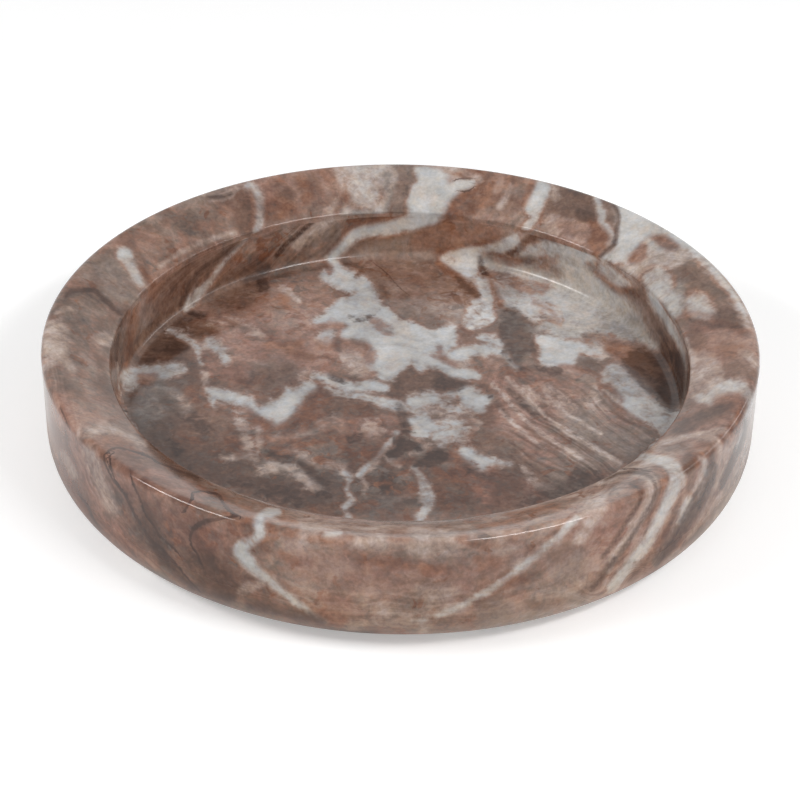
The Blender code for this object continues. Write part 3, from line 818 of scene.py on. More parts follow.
        (3, .5, "480,528,4 500,524 520,520,3; 106,438,4 120,440,5 130,445,4; 700,352,6 720,352,8 "
         "740,350,6; 485,542,4 500,545 512,541,3; 478,560,5 492,562,6 506,558,5; 360,560,3 390,563,4 "
         "420,566 450,570,3"),
        (5, .5, "240,508 250,510 252,524 240,528 234,520"),
        (4, .5, "660,540 668,528 672,536 664,550; 446,214 452,202 462,194 475,188 490,182 505,178 "
         "520,180 500,195 485,205 470,215 455,220; 52,425,4 58,455,5 68,485 84,515 104,543,4"),
        (1.5, .6, "252,194,2 255,206,3 255,218 251,229,2"), (2.5, .8, "348,196,5 342,203,6 337,211,5"),
        (3, .4, "262,205 275,200 290,205 300,212 285,216 268,218; 300,180,5 308,190,6 306,200,5"),
        (2, 1, "641,243 646,246 646,256 640,262 632,264 628,259 633,252; 655,238 664,235 672,240 "
         "679,247 672,251 664,249 657,244"),
        (3, .7, "726,402,5 736,408,8 738,420 733,432,6 727,442,4"),
        (2.5, .7, "699,446,5 709,448,7 714,456,6 709,466,5"),
        (2.5, .6, "635,485,4 642,492,5 640,503 634,514,4"),
    ],
    "umber": [
        (1.5, .8, "66,297,3 70,292,4 82,290 95,291 101,297 107,302 113,308 120,313"),
        (1.5, .9, "612,203,2 616,208,3 619,217 617,228,4 615,242 608,250,3 600,257,2"),
        (2, .5, "690,320,2 700,322,2.5 712,326 726,326,2 742,328"),
        (1.3, .8, "736,446,2 733,455 727,468 720,481"),
        (2.5, .8, "682,461 689,457 694,462 690,472 684,470; 168,564,3 175,570,4 181,576 187,583 "
         "193,589,3"),
        (2, .85, "201,523,6 207,521 195,528,5"), (3, .7, "216,590,5 224,596,6 232,598,5"),
        (3, .5, "155,545,5 162,555,7 168,566,5"), (1.5, .85, "208,197,2 217,197,3 225,196 232,193,2"),
        (2, .6, "578,210 590,212 592,218 582,220 576,216"),
        (2.5, .75, "696,418,3 708,413,6 720,409 730,406,3"),
        (1.2, .8, "604,480,2 618,474 632,472,3 645,474 653,480 656,489 653,500 647,511 641,521 635,531 "
         "628,542 620,553,4 611,565 602,577 592,589"),
        (1.2, .6, "630,484,2 638,488 641,497 636,508 628,520,3 620,532 612,545 602,558"),
        (1.3, .7, "745,420,2 744,436,3 738,452 730,470 721,488"), (2, .7, "688,455,3 684,464,4 688,472"),
        (1.5, .6, "712,452,2 712,462,3 706,476 698,492 690,506 681,520 672,534"),
        (4, .6, "250,606,6 280,612,7 320,620"),
        (2, .95, "714,466,5 711,478,8 706,490,9 700,501,10 693,512 686,523 679,533 671,544,9 663,554,8 "
         "656,563,6"),
    ],
}
# thin dark threads on the rim and wall, and the floor, as strokes
rimThreads = [
    "200,592,2 185,575 172,560,3 160,548 150,538 143,528 137,518 131,507 126,496 119,487 113,480,2 "
    "109,472 105,463 104,456 107,452 112,449 118,448 121,448 131,451 142,454,3 153,459 160,464,2 172,468 "
    "184,473 200,478,1",
    "126,496,1 119,488,2 116,481 112,471 110,463 110,456 114,452,1",
    "130,470,1 132,481,2 137,492 142,504 146,515 154,526 160,536 168,543 176,551 181,558,1",
    "184,511,3 189,505 192,498,4 193,493,3 200,491,2 206,492 212,493,3 219,496 223,503 228,509 234,514 "
    "240,516,2 231,517,3 222,518 211,520,4 201,523,5 195,528 192,532,3 190,539 190,543,2 193,548 197,554 "
    "200,561 203,567,1",
    "455,180,1 464,178,2 473,179,1",
    "458,191,1 466,191,2 474,187,1",
    "77,487,1 80,496,2 87,504 93,518 99,528,1",
    "61,408,1 64,416 70,430",
    "600,476,1 616,470 630,469,2 644,470 652,472,1",
]
floorThreads = [
    "372,262,.5 385,272,1 398,286 410,296,.5",
]
# lines that the streaks follow, each with how far it lies across the grain, in pixels
floorGrain = [
    (320, "205,315 235,324 270,330 310,330"), (345, "150,345 200,346 250,344 298,350 340,358"),
    (345, "430,360 449,370 477,376"),
    (370, "128,374 150,369 186,367 230,372 280,372 321,378 353,388 384,390 409,394 440,398"),
    (395, "130,400 170,398 208,396 240,399 275,410 300,402 315,390 330,391 360,397 392,404 420,412"),
    (425, "140,425 200,425 240,424 270,428 296,424 320,412 345,408 370,412 400,422"),
    (440, "150,440 200,448 250,446 296,440 329,437 350,428 380,424"),
    (460, "170,462 200,458 247,459 290,460 330,455 360,448"), (490, "210,478 260,490 300,492 340,488"),
    (330, "322,275 352,271 378,300 402,320 440,330"), (300, "370,262 400,275 422,285 450,300 470,312"),
    (300, "540,330 585,338 620,340 650,348"), (280, "440,250 450,270 460,280 475,296 482,310"),
    (280, "560,262 600,275 640,305 658,332"), (400, "504,375 522,393 544,416 571,434 593,449 619,467"),
    (420, "508,418 539,432 571,451 590,465"), (375, "520,362 560,385 600,420 640,450"),
    (350, "600,386 622,404 640,419 660,432"), (335, "610,366 637,382 666,405 681,413"),
    (445, "470,432 500,441 530,462 560,480"), (500, "425,470 430,490 424,515"),
    (460, "523,468 530,479 552,490"),
]
wallGrain = [
    (5, "254,229 216,241 176,264 150,283 127,306 114,340 110,362"),
    (20, "250,232 215,250 180,270 155,290 140,312 130,350 126,365"),
    (45, "252,236 240,242 222,259 202,272 190,286 184,305 178,320"),
    (60, "262,240 246,254 230,266 214,281 200,296 192,312"),
    (85, "300,232 287,243 276,257 262,268 240,282"), (100, "325,216 312,225 303,233 290,250 276,262"),
    (118, "350,220 330,240 312,255 290,268"), (130, "440,219 410,223 380,229 355,236 341,248 330,260"),
    (142, "460,217 440,224 410,231 375,241 355,247 345,258"), (155, "500,226 470,232 440,245 410,255"),
    (168, "512,253 527,240 548,237 560,239"), (168, "646,283 655,300 663,315 672,330 680,345 685,368"),
    (180, "600,257 640,284 664,300 680,320 688,345 689,375"), (150, "600,275 625,295 645,320 662,345"),
]
rimGrain = [
    (0, "41,360 45,410 55,455 75,500 110,548 160,585 230,612"),
    (0, "757,372 755,420 744,470 722,515 690,548 640,578"),
    (10, "50,355 56,400 64,440 78,485 100,520 140,556 190,588 260,612 340,628 420,632 500,628 580,608"),
    (25, "60,365 70,410 82,450 96,490 120,525 155,560 200,590"),
    (25, "752,400 749,418 741,445 727,478 705,515 680,550"),
    (40, "185,463 160,452 125,436 105,428 80,433 88,460 98,485 115,510 135,535 165,565"),
    (40, "640,450 674,440 701,434 722,430 728,443 720,465 700,500 672,545 650,572"),
    (40, "240,496 330,516 420,522 500,517 580,495"),
    (50, "230,490 184,473 153,459 131,451 113,449 104,458 108,472 119,488 131,507 143,528 160,552 185,582"),
    (50, "600,484 640,465 668,457 680,473 669,505 649,543 610,592"),
    (66, "200,494 170,482 147,470 136,466 130,471 132,481 142,504 154,526 168,543 190,557 215,580"),
    (66, "590,490 618,476 650,477 656,490 652,504 634,534 612,564 590,592"),
    (66, "270,520 340,528 420,532 500,528 560,514"),
    (80, "280,552 340,556 400,562 460,568 510,556 560,540 600,515 630,500"),
    (60, "250,590 320,604 400,606 480,600 560,580 600,560"),
    (85, "300,565 360,570 420,578 480,574 540,560"), (-40, "50,310 66,303 80,312 86,325 100,345"),
    (-40, "747,330 725,322 705,319 690,314"), (-80, "66,282 92,290 108,301 120,313"),
    (-80, "735,300 715,290 700,280 690,272"), (-130, "98,251 118,250 134,270 144,286"),
    (-130, "700,250 680,246 660,242 640,255"), (-180, "135,215 160,225 180,250"),
    (-180, "665,225 640,235 615,250"), (-230, "185,190 205,205 215,230"),
    (-230, "619,205 619,217 616,242"), (-280, "248,185 256,191 260,212 256,230"),
    (-280, "575,190 580,210 575,235"), (-330, "300,172 305,190 300,212"),
    (-330, "538,181 541,205 526,228"), (-370, "340,168 345,185 341,205"),
    (-400, "385,166 390,185 386,208"), (-410, "490,172 475,190 455,210"),
    (-420, "430,166 430,190 425,212"),
]

markReach = 8.0                  # beyond this many softnesses outside an edge a mark has no effect
pathSteps = 3                    # points that a drawn path gets to each of its own
tiny = 1e-9                      # keeps a division or a logarithm from failing
grainSheet = {
    "unit": 100.0,               # pixels
    "slack": 0.01,               # how loosely the sheet follows its guide lines
    "steps": 2,
    "batch": 20000,              # spots worked out at a time
}
# where one drawing ends and the next begins, in metres
markFit = {
    "lipMargin": 0.0002,
    "floorMargin": 0.002,
    "hiddenFade": 0.006,         # the front rim hides the floor behind it, with an edge this soft
    "backLevel": 0.03,           # on faces turned away, the rim's drawing ends at this height
    "backFade": 0.008,
}


def readPath(text):
    rows, width = [], 0.0
    for spot in text.split():
        numbers = [float(n) for n in spot.split(",")]
        width = numbers[2] if len(numbers) > 2 else width
        rows.append((numbers[0], numbers[1], width))
    return np.array(rows)


def smoothPath(path, closed, steps=pathSteps):
    # bends a drawn path smoothly through its points
    if len(path) < 3:
        return path
    ends = (path[-1:], path[:2]) if closed else (2 * path[:1] - path[1:2], 2 * path[-1:] - path[-2:-1])
    padded = np.vstack((ends[0], path, ends[1]))
    t = np.arange(steps)[:, None] / steps
    runs = []
    for i in range(1, len(padded) - 2):
        p, q, r, s = padded[i - 1:i + 3]
        runs.append(0.5 * (2 * q + (r - p) * t + (2 * p - 5 * q + 4 * r - s) * t ** 2
                           + (3 * q - p - 3 * r + s) * t ** 3))
    return np.vstack(runs + ([] if closed else [path[-1:]]))


def nearestOnPath(spots, path, closed):
    # distance to a path, which side of it a spot is on, and the path's width there
    nearest = np.full(len(spots), np.inf)
    side, width = np.ones(len(spots)), np.zeros(len(spots))
    corners = np.vstack((path, path[:1])) if closed else path
    for a, b in zip(corners[:-1], corners[1:]):
        along = b[:2] - a[:2]
        offset = spots - a[:2]
        t = np.clip(offset @ along / max(along @ along, tiny), 0, 1)
        gap = offset - t[:, None] * along
        distance = np.hypot(gap[:, 0], gap[:, 1])
        closer = distance < nearest
        nearest[closer] = distance[closer]
        side[closer] = np.where(along[0] * gap[:, 1] > along[1] * gap[:, 0], 1, -1)[closer]
        width[closer] = (a[2] + (b[2] - a[2]) * t)[closer]
    return nearest, side, width


def insideOutline(spots, path):
    inside = np.zeros(len(spots), bool)
    for a, b in zip(path, np.roll(path, -1, axis=0)):
        if a[1] != b[1]:
            crosses = (a[1] > spots[:, 1]) != (b[1] > spots[:, 1])
            reach = a[0] + (spots[:, 1] - a[1]) / (b[1] - a[1]) * (b[0] - a[0])
            inside ^= crosses & (spots[:, 0] < reach)
    return inside


def spotsNear(spots, path, margin):
    low, high = path[:, :2].min(0) - margin, path[:, :2].max(0) + margin
    return np.flatnonzero(np.all((spots > low) & (spots < high), axis=1))


def markDepth(spots, marks):
    # how deep each spot lies inside the marks of one kind, in softnesses of their edges
    depth = np.full(len(spots), -markReach)
    oneByOne = [(softness, cover, text) for softness, cover, texts in marks for text in texts.split(";")]
    for softness, cover, text in oneByOne:
        path = readPath(text)
        isStroke = path[:, 2].any()
        path = smoothPath(path, not isStroke)
        near = spotsNear(spots, path, softness * markReach + path[:, 2].max())
        distance, side, width = nearestOnPath(spots[near], path, not isStroke)
        if isStroke:
            inside = width / 2 - distance
        else:
            inside = np.where(insideOutline(spots[near], path), distance, -distance)
        # a mark covers half at depth 0, and a faint one never gets much deeper
        most = markReach if cover >= 1 else cover - 0.5
        depth[near] = np.maximum(depth[near], np.minimum(inside / softness, most))
    return depth


def threadLines(spots, strokes):
    # signed and plain distance to the nearest thread, and half its width there
    lines = np.tile((markReach, markReach, 0.0, 1.0), (len(spots), 1))
    for text in strokes:
        path = smoothPath(readPath(text), False)
        near = spotsNear(spots, path, markReach)
        distance, side, width = nearestOnPath(spots[near], path, False)
        closer = distance < lines[near, 1]
        lines[near[closer], 0] = (distance * side)[closer]
        lines[near[closer], 1] = distance[closer]
        lines[near[closer], 2] = width[closer] / 2
    return lines


def grainField(spots, guides):
    # a smooth sheet through the guide lines: it is level along the streaks and rises across them
    unit = grainSheet["unit"]
    centres, levels = [], []
    for level, text in guides:
        path = smoothPath(readPath(text), False, grainSheet["steps"])[:, :2] / unit
        centres.append(path)
        levels += [level] * len(path)
    centres = np.vstack(centres)
    count = len(centres)

    def bend(first, second):
        squared = ((first[:, None] - second[None]) ** 2).sum(2)
        return squared * np.log(squared + tiny)

    system = np.zeros((count + 3, count + 3))
    system[:count, :count] = bend(centres, centres) + np.identity(count) * grainSheet["slack"]
    system[:count, count], system[:count, count + 1:] = 1, centres
    system[count:, :count] = system[:count, count:].T
    weights = np.linalg.solve(system, np.array(levels + [0, 0, 0], float))
    values = []
    for part in np.array_split(spots / unit, max(1, len(spots) // grainSheet["batch"])):
        values.append(bend(part, centres) @ weights[:count] + weights[count] + part @ weights[count + 1:])
    return np.concatenate(values)


def readVertices(mesh, what):
    numbers = np.empty(len(mesh.vertices) * 3)
    mesh.vertices.foreach_get(what, numbers)
    return numbers.reshape(-1, 3)


def setAttribute(mesh, name, values):
    kind, key = ("FLOAT_COLOR", "color") if values.ndim == 2 else ("FLOAT", "value")
    layer = mesh.attributes.new(name, kind, "POINT")
    layer.data.foreach_set(key, values.astype(np.float32).ravel())


def layStone(mesh, shape, fit, view, bottom):
    # writes the markings onto the bowl's vertices, the hollow and the rim each from its own drawing
    points = readVertices(mesh, "co")
    spots = pictureSpots(points, view)
    radius = np.hypot(points[:, 0], points[:, 1])
    lipRadius = shape["radius"] - shape["rimWidth"]
    aboveFloor = points[:, 2] > bottom + shape["floorThickness"] - fit["floorMargin"]
    inHollow = (radius < lipRadius - fit["lipMargin"]) & aboveFloor
    onFloor = inHollow & (radius < lipRadius - shape["coveRadius"])
    for kind in hollowMarks:
        depth = np.full(len(points), -markReach)
        depth[inHollow] = markDepth(spots[inHollow], hollowMarks[kind])
        depth[~inHollow] = markDepth(spots[~inHollow], rimMarks[kind])
        setAttribute(mesh, kind, depth)
    threads = np.empty((len(points), 4))
    for place, strokes in ((inHollow, floorThreads), (~inHollow, rimThreads)):
        threads[place] = threadLines(spots[place], strokes)
    setAttribute(mesh, "thread", threads)
    grain = np.empty(len(points))
    for place, guides in ((onFloor, floorGrain), (inHollow & ~onFloor, wallGrain), (~inHollow, rimGrain)):
        grain[place] = grainField(spots[place], guides)
    setAttribute(mesh, "grain", grain)
    # how far the picture shows a place: the drawing rules there, and free veins elsewhere
    facing = readVertices(mesh, "normal") @ cameraAxes(view)[2] > 0
    frontLip = -np.sqrt(np.maximum(lipRadius ** 2 - points[:, 0] ** 2, 0))
    hidden = (shape["height"] - shape["rimDip"] - shape["floorThickness"]) / math.tan(view["elevation"])
    clear = points[:, 1] - frontLip - hidden
    floorSeen = np.where(facing, clear / fit["hiddenFade"] + 1, 0)
    rimSeen = np.where(facing, 1, (points[:, 2] - fit["backLevel"]) / fit["backFade"])
    setAttribute(mesh, "seen", np.clip(np.where(inHollow, floorSeen, rimSeen), 0, 1))


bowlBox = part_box("bowl")
lathe = latheTree()
marble = bpy.data.materials.new("polished_marble_veined")
bowl = drawSection("marble_bowl", fitOutline(bowlOutline(bowlShape), bowlBox))
applyTree(bowl, lathe, {"Segments": bowlShape["segments"], "Merge Distance": mergeDistance,
                        "Finish": marble})
layStone(bowl.data, bowlShape, markFit, cameraView, bowlBox[0].z)
print("bowl turned:", len(bowl.data.vertices), "points,", len(bowl.data.polygons), "faces")

# colours as they look on screen, 0 to 255, each list from its darkest to its palest shade
stoneColours = {
    "warm": [(81, 54, 42), (111, 79, 65), (137, 102, 87), (159, 126, 111), (183, 156, 142)],
    "cool": [(79, 64, 57), (105, 87, 78), (130, 111, 101), (151, 133, 124), (173, 158, 150)],
    "rose": [(121, 77, 62), (147, 105, 90), (165, 129, 115)],
    "white": [(138, 133, 131), (162, 159, 158), (180, 178, 177), (192, 190, 189), (203, 201, 200)],
    "pearl": [(150, 129, 119), (176, 157, 147), (198, 183, 175)],
    "milk": [(151, 144, 139), (174, 170, 167), (193, 191, 189)],
    "slate": [(81, 71, 67), (103, 92, 86), (125, 111, 103)],
    "brown": [(73, 48, 37), (99, 71, 57), (125, 96, 81)],
    "umber": [(51, 33, 27), (69, 47, 38), (95, 69, 56)],
    "rust": [(81, 43, 28), (115, 69, 46), (147, 101, 76)],
    "thread": [(57, 37, 31), (82, 57, 48)],
}
# noises in the stone: scale, detail, roughness, distortion
stoneNoise = {
    "wander": (60, 4, 0.6),
    "sway": (60, 1, 0.5),
    "edge": (260, 2, 0.5, 0.6),
    "blotch": (85, 4, 0.5, 0.8),
    "mottle": (200, 4, 0.6, 0.8),
    "drift": (20, 3, 0.5),
    "fine": (650, 2, 0.5),
    "rustFlecks": (110, 3, 0.6, 0.6),
    "darkFlecks": (140, 3, 0.6, 0.6),
    "hueFlecks": (300, 3, 0.55),
}
# how much each noise or marking adds to a quality of the stone
stoneMix = {
    "tear": {"edge": 4.5, "streak": 3.8, "mottle": 3.6, "blotch": 3.0},
    "brownShade": {"tintAndPaintedShade": 0.22, "cloudy": 0.5, "along": 0.54, "mottle": 0.36, "drift": 0.15, "fine": 0.12},
    "markShade": {"tintAndPaintedShade": 0.2, "mottle": 0.72, "along": 0.58, "cloudy": 0.6, "fine": 0.15},
    "whiteShade": {"tintAndPaintedShade": 0.24, "blotch": 0.75, "edge": 0.25, "mottle": 0.2},
    "coolness": {"drift": 0.9, "mottle": -0.9, "wander": 0.9},
    "crowding": {"flecked": 0.07, "outside": -0.03},
    "cream": {"mottle": 0.6, "wander": 1.0},
    "threadOff": {"threadSide": 1.0, "mottle": 4.0, "fine": 2.0},
    "threadFaint": {"blotch": 1.0, "streak": 1.0},
    "crystals": {"crystal": 0.07, "fine": 0.35},
    "fleck": {"hueFlecks": 1.0, "wander": 0.6},
    "tan": {"outside": 0.025, "wall": 0.12},
    "roughness": {"blotch": 0.06, "white": 0.03, "under": 0.20, "wall": 0.30},
    "relief": {"fine": 0.6, "mottle": 1.0},
}
# how each kind of mark covers, from where to where its torn edge fades in, and how its free veins
# look where the picture shows nothing: their coarseness and how rare they are
markLook = {
    "rose": (0.7, (-2.4, 1.8), 18, 0.60),
    "milk": (0.9, (-2.2, 1.4), 14, 0.66),
    "slate": (0.8, (-2.2, 1.4), 26, 0.66),
    "brown": (0.9, (-2.2, 1.4), 16, 0.60),
    "pearl": (0.85, (-2.2, 1.4), 30, 0.62),
    "white": (1.0, (-1.8, 1.6), 24, 0.62),
    "rust": (0.75, (-2.2, 1.4), 50, 0.66),
    "umber": (0.92, (-1.7, 1.1), 40, 0.66),
}
stoneLook = {
    "streakStretch": 16,         # the higher, the shorter the streaks
    "streaks": (0.11, 2.0, 3),   # how close together they lie, how they sway, detail
    "closeStreaks": (0.3, 2.6, 2),
    "stripe": 1.35,              # strength of the close streaks in their own places
    "softPlace": (-2, 2, 0.25),  # edge of a broad, soft mark, and how little of the tearing it takes
    "fleckedPlace": (-2, 2),
    "calmStreaks": 0.45,         # share of the streaks that is left in calm places
    "calmBlotches": 1.35,        # and how much stronger the blotches are there
    "outsideTear": 0.45,         # share of the tearing that is left on the rim and wall
    "freeVeins": (4, 0.6, 1.0),  # noise of the veins that the picture doesn't show, their depth, and
    "freeDepth": 30,             # how far down they are pushed where it does
    "seenDepth": 14,
    "coolEdge": (-0.22, 0.22),
    "shadeSpread": 0.22,         # noise from minus this to this runs through a list of shades
    "whiteSpread": 0.25,
    "rustFlecks": (0.07, 0.15, 0, 0.7),
    "darkFlecks": (0.08, 0.16, 0, 0.65),
    "stain": (-4.0, -1.2),       # rust outside the edge of a white patch
    "stainPatches": (-0.06, 0.08, 0, 0.85),
    "fringe": (-3.5, 0.5),       # pearl at its edge
    "fringeCover": 0.6,
    "core": (-0.5, 5.0),         # and lighter in its middle
    "coreLight": 0.12,
    "cream": (0.02, 0.16, 0, 0.3),
    "creamPlace": (-1, 1),
    "threadEdge": (0.7, -0.7),
    "threadEnd": (4.0, 3.0),
    "threadFaint": (-0.15, 0.15, 0.6, 1.0),
    "crystalScale": 1500,
    "redFleck": 0.20,            # how far the warm flecks raise red and lower blue
    "blueFleck": -0.28,
    "greenTan": -0.6,            # and how far the tan of the wall lowers green and blue
    "blueTan": 1.5,
    "inside": (0.114, 0.122),    # reach from the axis over which the hollow gives way to the rim
    "wallTop": 0.046,            # the outer wall's tan and dullness end this high above the underside
    "underside": (0.002, 0.0005),
    "polish": 0.10,              # roughness before the noises and places of stoneMix
    "ior": 1.40,
    "bump": (0.05, 0.0004),
}


def fromScreen(colour):
    # standard screen curve, to linear
    levels = [c / 255 for c in colour]
    return (*[c / 12.92 if c <= 0.04045 else ((c + 0.055) / 1.055) ** 2.4 for c in levels], 1.0)


def cloud(tree, place, scale, detail=3.0, roughness=0.55, distortion=0.0):
    # soft noise round zero
    feeds = {"Vector": place, "Scale": scale, "Detail": detail, "Roughness": roughness,
             "Distortion": distortion}
    return calc(tree, "SUBTRACT", addNode(tree, "ShaderNodeTexNoise", feeds).outputs[0], 0.5)


def blend(tree, values, weights):
    # sum of named values, each with its weight
    total = 0.0
    for name, weight in weights.items():
        total = calc(tree, "MULTIPLY_ADD", values[name], weight, total)
    return total


def fade(tree, value, start, end, low=0.0, high=1.0):
    return addNode(tree, "ShaderNodeMapRange",
                   {"Value": value, "From Min": start, "From Max": end, "To Min": low, "To Max": high},
                   interpolation_type="SMOOTHSTEP").outputs[0]


def shades(tree, value, colours, spread=0.3):
    # palette from dark to pale, over values from -spread to spread
    ramp = addNode(tree, "ShaderNodeValToRGB", {0: calc(tree, "MULTIPLY_ADD", value, 0.5 / spread, 0.5)})
    elements = ramp.color_ramp.elements
    while len(elements) < len(colours):
        elements.new(0.5)
    for i, colour in enumerate(colours):
        elements[i].position = i / (len(colours) - 1)
        elements[i].color = fromScreen(colour)
    return ramp.outputs[0]


def layer(tree, share, under, over):
    return addNode(tree, "ShaderNodeMix", {0: share, 6: under, 7: over}, data_type="RGBA").outputs[2]


def attribute(tree, name, output="Fac"):
    return addNode(tree, "ShaderNodeAttribute", attribute_name=name).outputs[output]


def addBump(tree, height, strength, distance):
    bump = addNode(tree, "ShaderNodeBump", {"Height": height, "Strength": strength, "Distance": distance})
    tree.links.new(bump.outputs[0], tree.nodes["Principled BSDF"].inputs["Normal"])


def finishMarble(material, colours, noises, mixes, marks, look, bottom):
    material.use_nodes = True
    tree = material.node_tree
    shader = tree.nodes["Principled BSDF"]
    place = addNode(tree, "ShaderNodeTexCoord").outputs["Object"]
    x, y, z = splitVector(tree, place)
    part = {name: cloud(tree, place, *numbers) for name, numbers in noises.items()}
    spread = look["shadeSpread"]

    def mix(name):
        return blend(tree, part, mixes[name])

    def times(first, second):
        return calc(tree, "MULTIPLY", first, second)

    def streaks(rise, sway, detail):
        # noise that changes quickly across the grain and slowly along it
        across = calc(tree, "MULTIPLY_ADD", part["sway"], sway, times(attribute(tree, "grain"), rise))
        stretched = vectorCalc(tree, "SCALE", place, scale=look["streakStretch"])
        return cloud(tree, vectorCalc(tree, "ADD", stretched, joinVector(tree, across)), 1.0, detail, 0.5)

    def torn(depth, start, end, ragged=1.0):
        # how far a spot is inside an edge that the noise has torn
        return fade(tree, calc(tree, "MULTIPLY_ADD", tear, ragged, depth), start, end)

    def softPlace(kind):
        return torn(attribute(tree, kind), *look["softPlace"])

    def depthOf(kind):
        # how deep inside a mark; where the picture shows nothing, free veins take its place
        scale, rarity = marks[kind][2:]
        free = calc(tree, "SUBTRACT", cloud(tree, place, scale, *look["freeVeins"]), rarity - 0.5)
        free = calc(tree, "SUBTRACT", times(free, look["freeDepth"]), away)
        return calc(tree, "MAXIMUM", attribute(tree, kind), free)

    def paint(under, share, kind, value="markShade"):
        return layer(tree, share, under, shades(tree, part[value], colours[kind], spread))

    def lay(under, kind):
        cover, edge = marks[kind][:2]
        return paint(under, times(torn(depthOf(kind), *edge), cover), kind)

    part["streak"] = streaks(*look["streaks"])
    reach = vectorCalc(tree, "LENGTH", joinVector(tree, x, y))
    part["outside"] = fade(tree, reach, *look["inside"])
    tear = times(mix("tear"), fade(tree, part["outside"], 0, 1, 1.0, look["outsideTear"]))
    away = times(attribute(tree, "seen"), look["seenDepth"])

    # brown stone: broad paler and dimmer places, partly painted light and painted shade, streaks and
    # blotches, warm and cool
    part["tintAndPaintedShade"] = calc(tree, "SUBTRACT", softPlace("paleAndPaintedLight"), softPlace("dimAndPaintedShade"))
    calm = softPlace("calm")
    stripe = times(times(streaks(*look["closeStreaks"]), look["stripe"]), softPlace("streaky"))
    part["along"] = calc(tree, "MULTIPLY_ADD", part["streak"],
                         fade(tree, calm, 0, 1, 1.0, look["calmStreaks"]), stripe)
    part["cloudy"] = times(part["blotch"], fade(tree, calm, 0, 1, 1.0, look["calmBlotches"]))
    value = mix("brownShade")
    base = layer(tree, fade(tree, mix("coolness"), *look["coolEdge"]),
                 shades(tree, value, colours["warm"]), shades(tree, value, colours["cool"]))
    # crowded flecks of rust and dark stone
    part["flecked"] = torn(attribute(tree, "flecked"), *look["fleckedPlace"])
    crowd = mix("crowding")
    rusty = fade(tree, calc(tree, "ADD", part["rustFlecks"], crowd), *look["rustFlecks"])
    dark = fade(tree, calc(tree, "SUBTRACT", crowd, part["darkFlecks"]), *look["darkFlecks"])
    base = paint(base, rusty, "rust", "mottle")
    base = paint(base, dark, "slate", "mottle")
    part["markShade"] = mix("markShade")
    for kind in ("rose", "milk", "slate", "brown", "pearl"):
        base = lay(base, kind)

    # white patches, each with a milky fringe, and here and there a stained rim outside it
    whiteDepth = depthOf("white")
    stain = times(torn(whiteDepth, *look["stain"]), fade(tree, part["wander"], *look["stainPatches"]))
    base = paint(base, stain, "rust")
    base = paint(base, times(torn(whiteDepth, *look["fringe"]), look["fringeCover"]), "pearl")
    part["white"] = torn(whiteDepth, *marks["white"][1])
    middle = fade(tree, whiteDepth, *look["core"])
    shade = calc(tree, "MULTIPLY_ADD", middle, look["coreLight"], mix("whiteShade"))
    base = layer(tree, part["white"], base, shades(tree, shade, colours["white"], look["whiteSpread"]))
    # soft tan clouds in the milky stone
    milky = torn(calc(tree, "MAXIMUM", whiteDepth, attribute(tree, "milk")), *look["creamPlace"])
    base = paint(base, times(fade(tree, mix("cream"), *look["cream"]), milky), "pearl")
    for kind in ("rust", "umber"):
        base = lay(base, kind)

    # threads, drawn from the signed distance so that they stay thin
    part["threadSide"], distance, halfWidth = splitVector(tree, attribute(tree, "thread", "Vector"))
    gap = calc(tree, "SUBTRACT", calc(tree, "ABSOLUTE", mix("threadOff")), halfWidth)
    thread = times(fade(tree, gap, *look["threadEdge"]), fade(tree, distance, *look["threadEnd"]))
    base = paint(base, times(thread, fade(tree, mix("threadFaint"), *look["threadFaint"])), "thread")

    # crystal grain, warm and cool flecks, and an outer wall that is a touch browner towards its foot
    crystals = addNode(tree, "ShaderNodeTexVoronoi", {"Vector": place, "Scale": look["crystalScale"]})
    red = addNode(tree, "ShaderNodeSeparateColor", {0: crystals.outputs["Color"]}).outputs[0]
    part["crystal"] = calc(tree, "SUBTRACT", red, 0.5)
    level = calc(tree, "ADD", mix("crystals"), 1.0)
    fleck = mix("fleck")
    part["wall"] = times(fade(tree, z, bottom + look["wallTop"], bottom), part["outside"])
    tan = mix("tan")
    blue = calc(tree, "MULTIPLY_ADD", fleck, look["blueFleck"], level)
    grained = joinVector(tree, calc(tree, "MULTIPLY_ADD", fleck, look["redFleck"], level),
                         calc(tree, "MULTIPLY_ADD", tan, look["greenTan"], level),
                         calc(tree, "SUBTRACT", blue, times(tan, look["blueTan"])))
    tree.links.new(vectorCalc(tree, "MULTIPLY", base, grained), shader.inputs["Base Color"])
    # polish, duller low on the outer wall and underneath
    high, low = look["underside"]
    part["under"] = fade(tree, z, bottom + high, bottom + low)
    tree.links.new(calc(tree, "ADD", mix("roughness"), look["polish"]), shader.inputs["Roughness"])
    shader.inputs["IOR"].default_value = look["ior"]
    addBump(tree, mix("relief"), *look["bump"])


finishMarble(marble, stoneColours, stoneNoise, stoneMix, markLook, stoneLook, bowlBox[0].z)
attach(bowl, "root")
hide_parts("bowl")
print("marble finished")

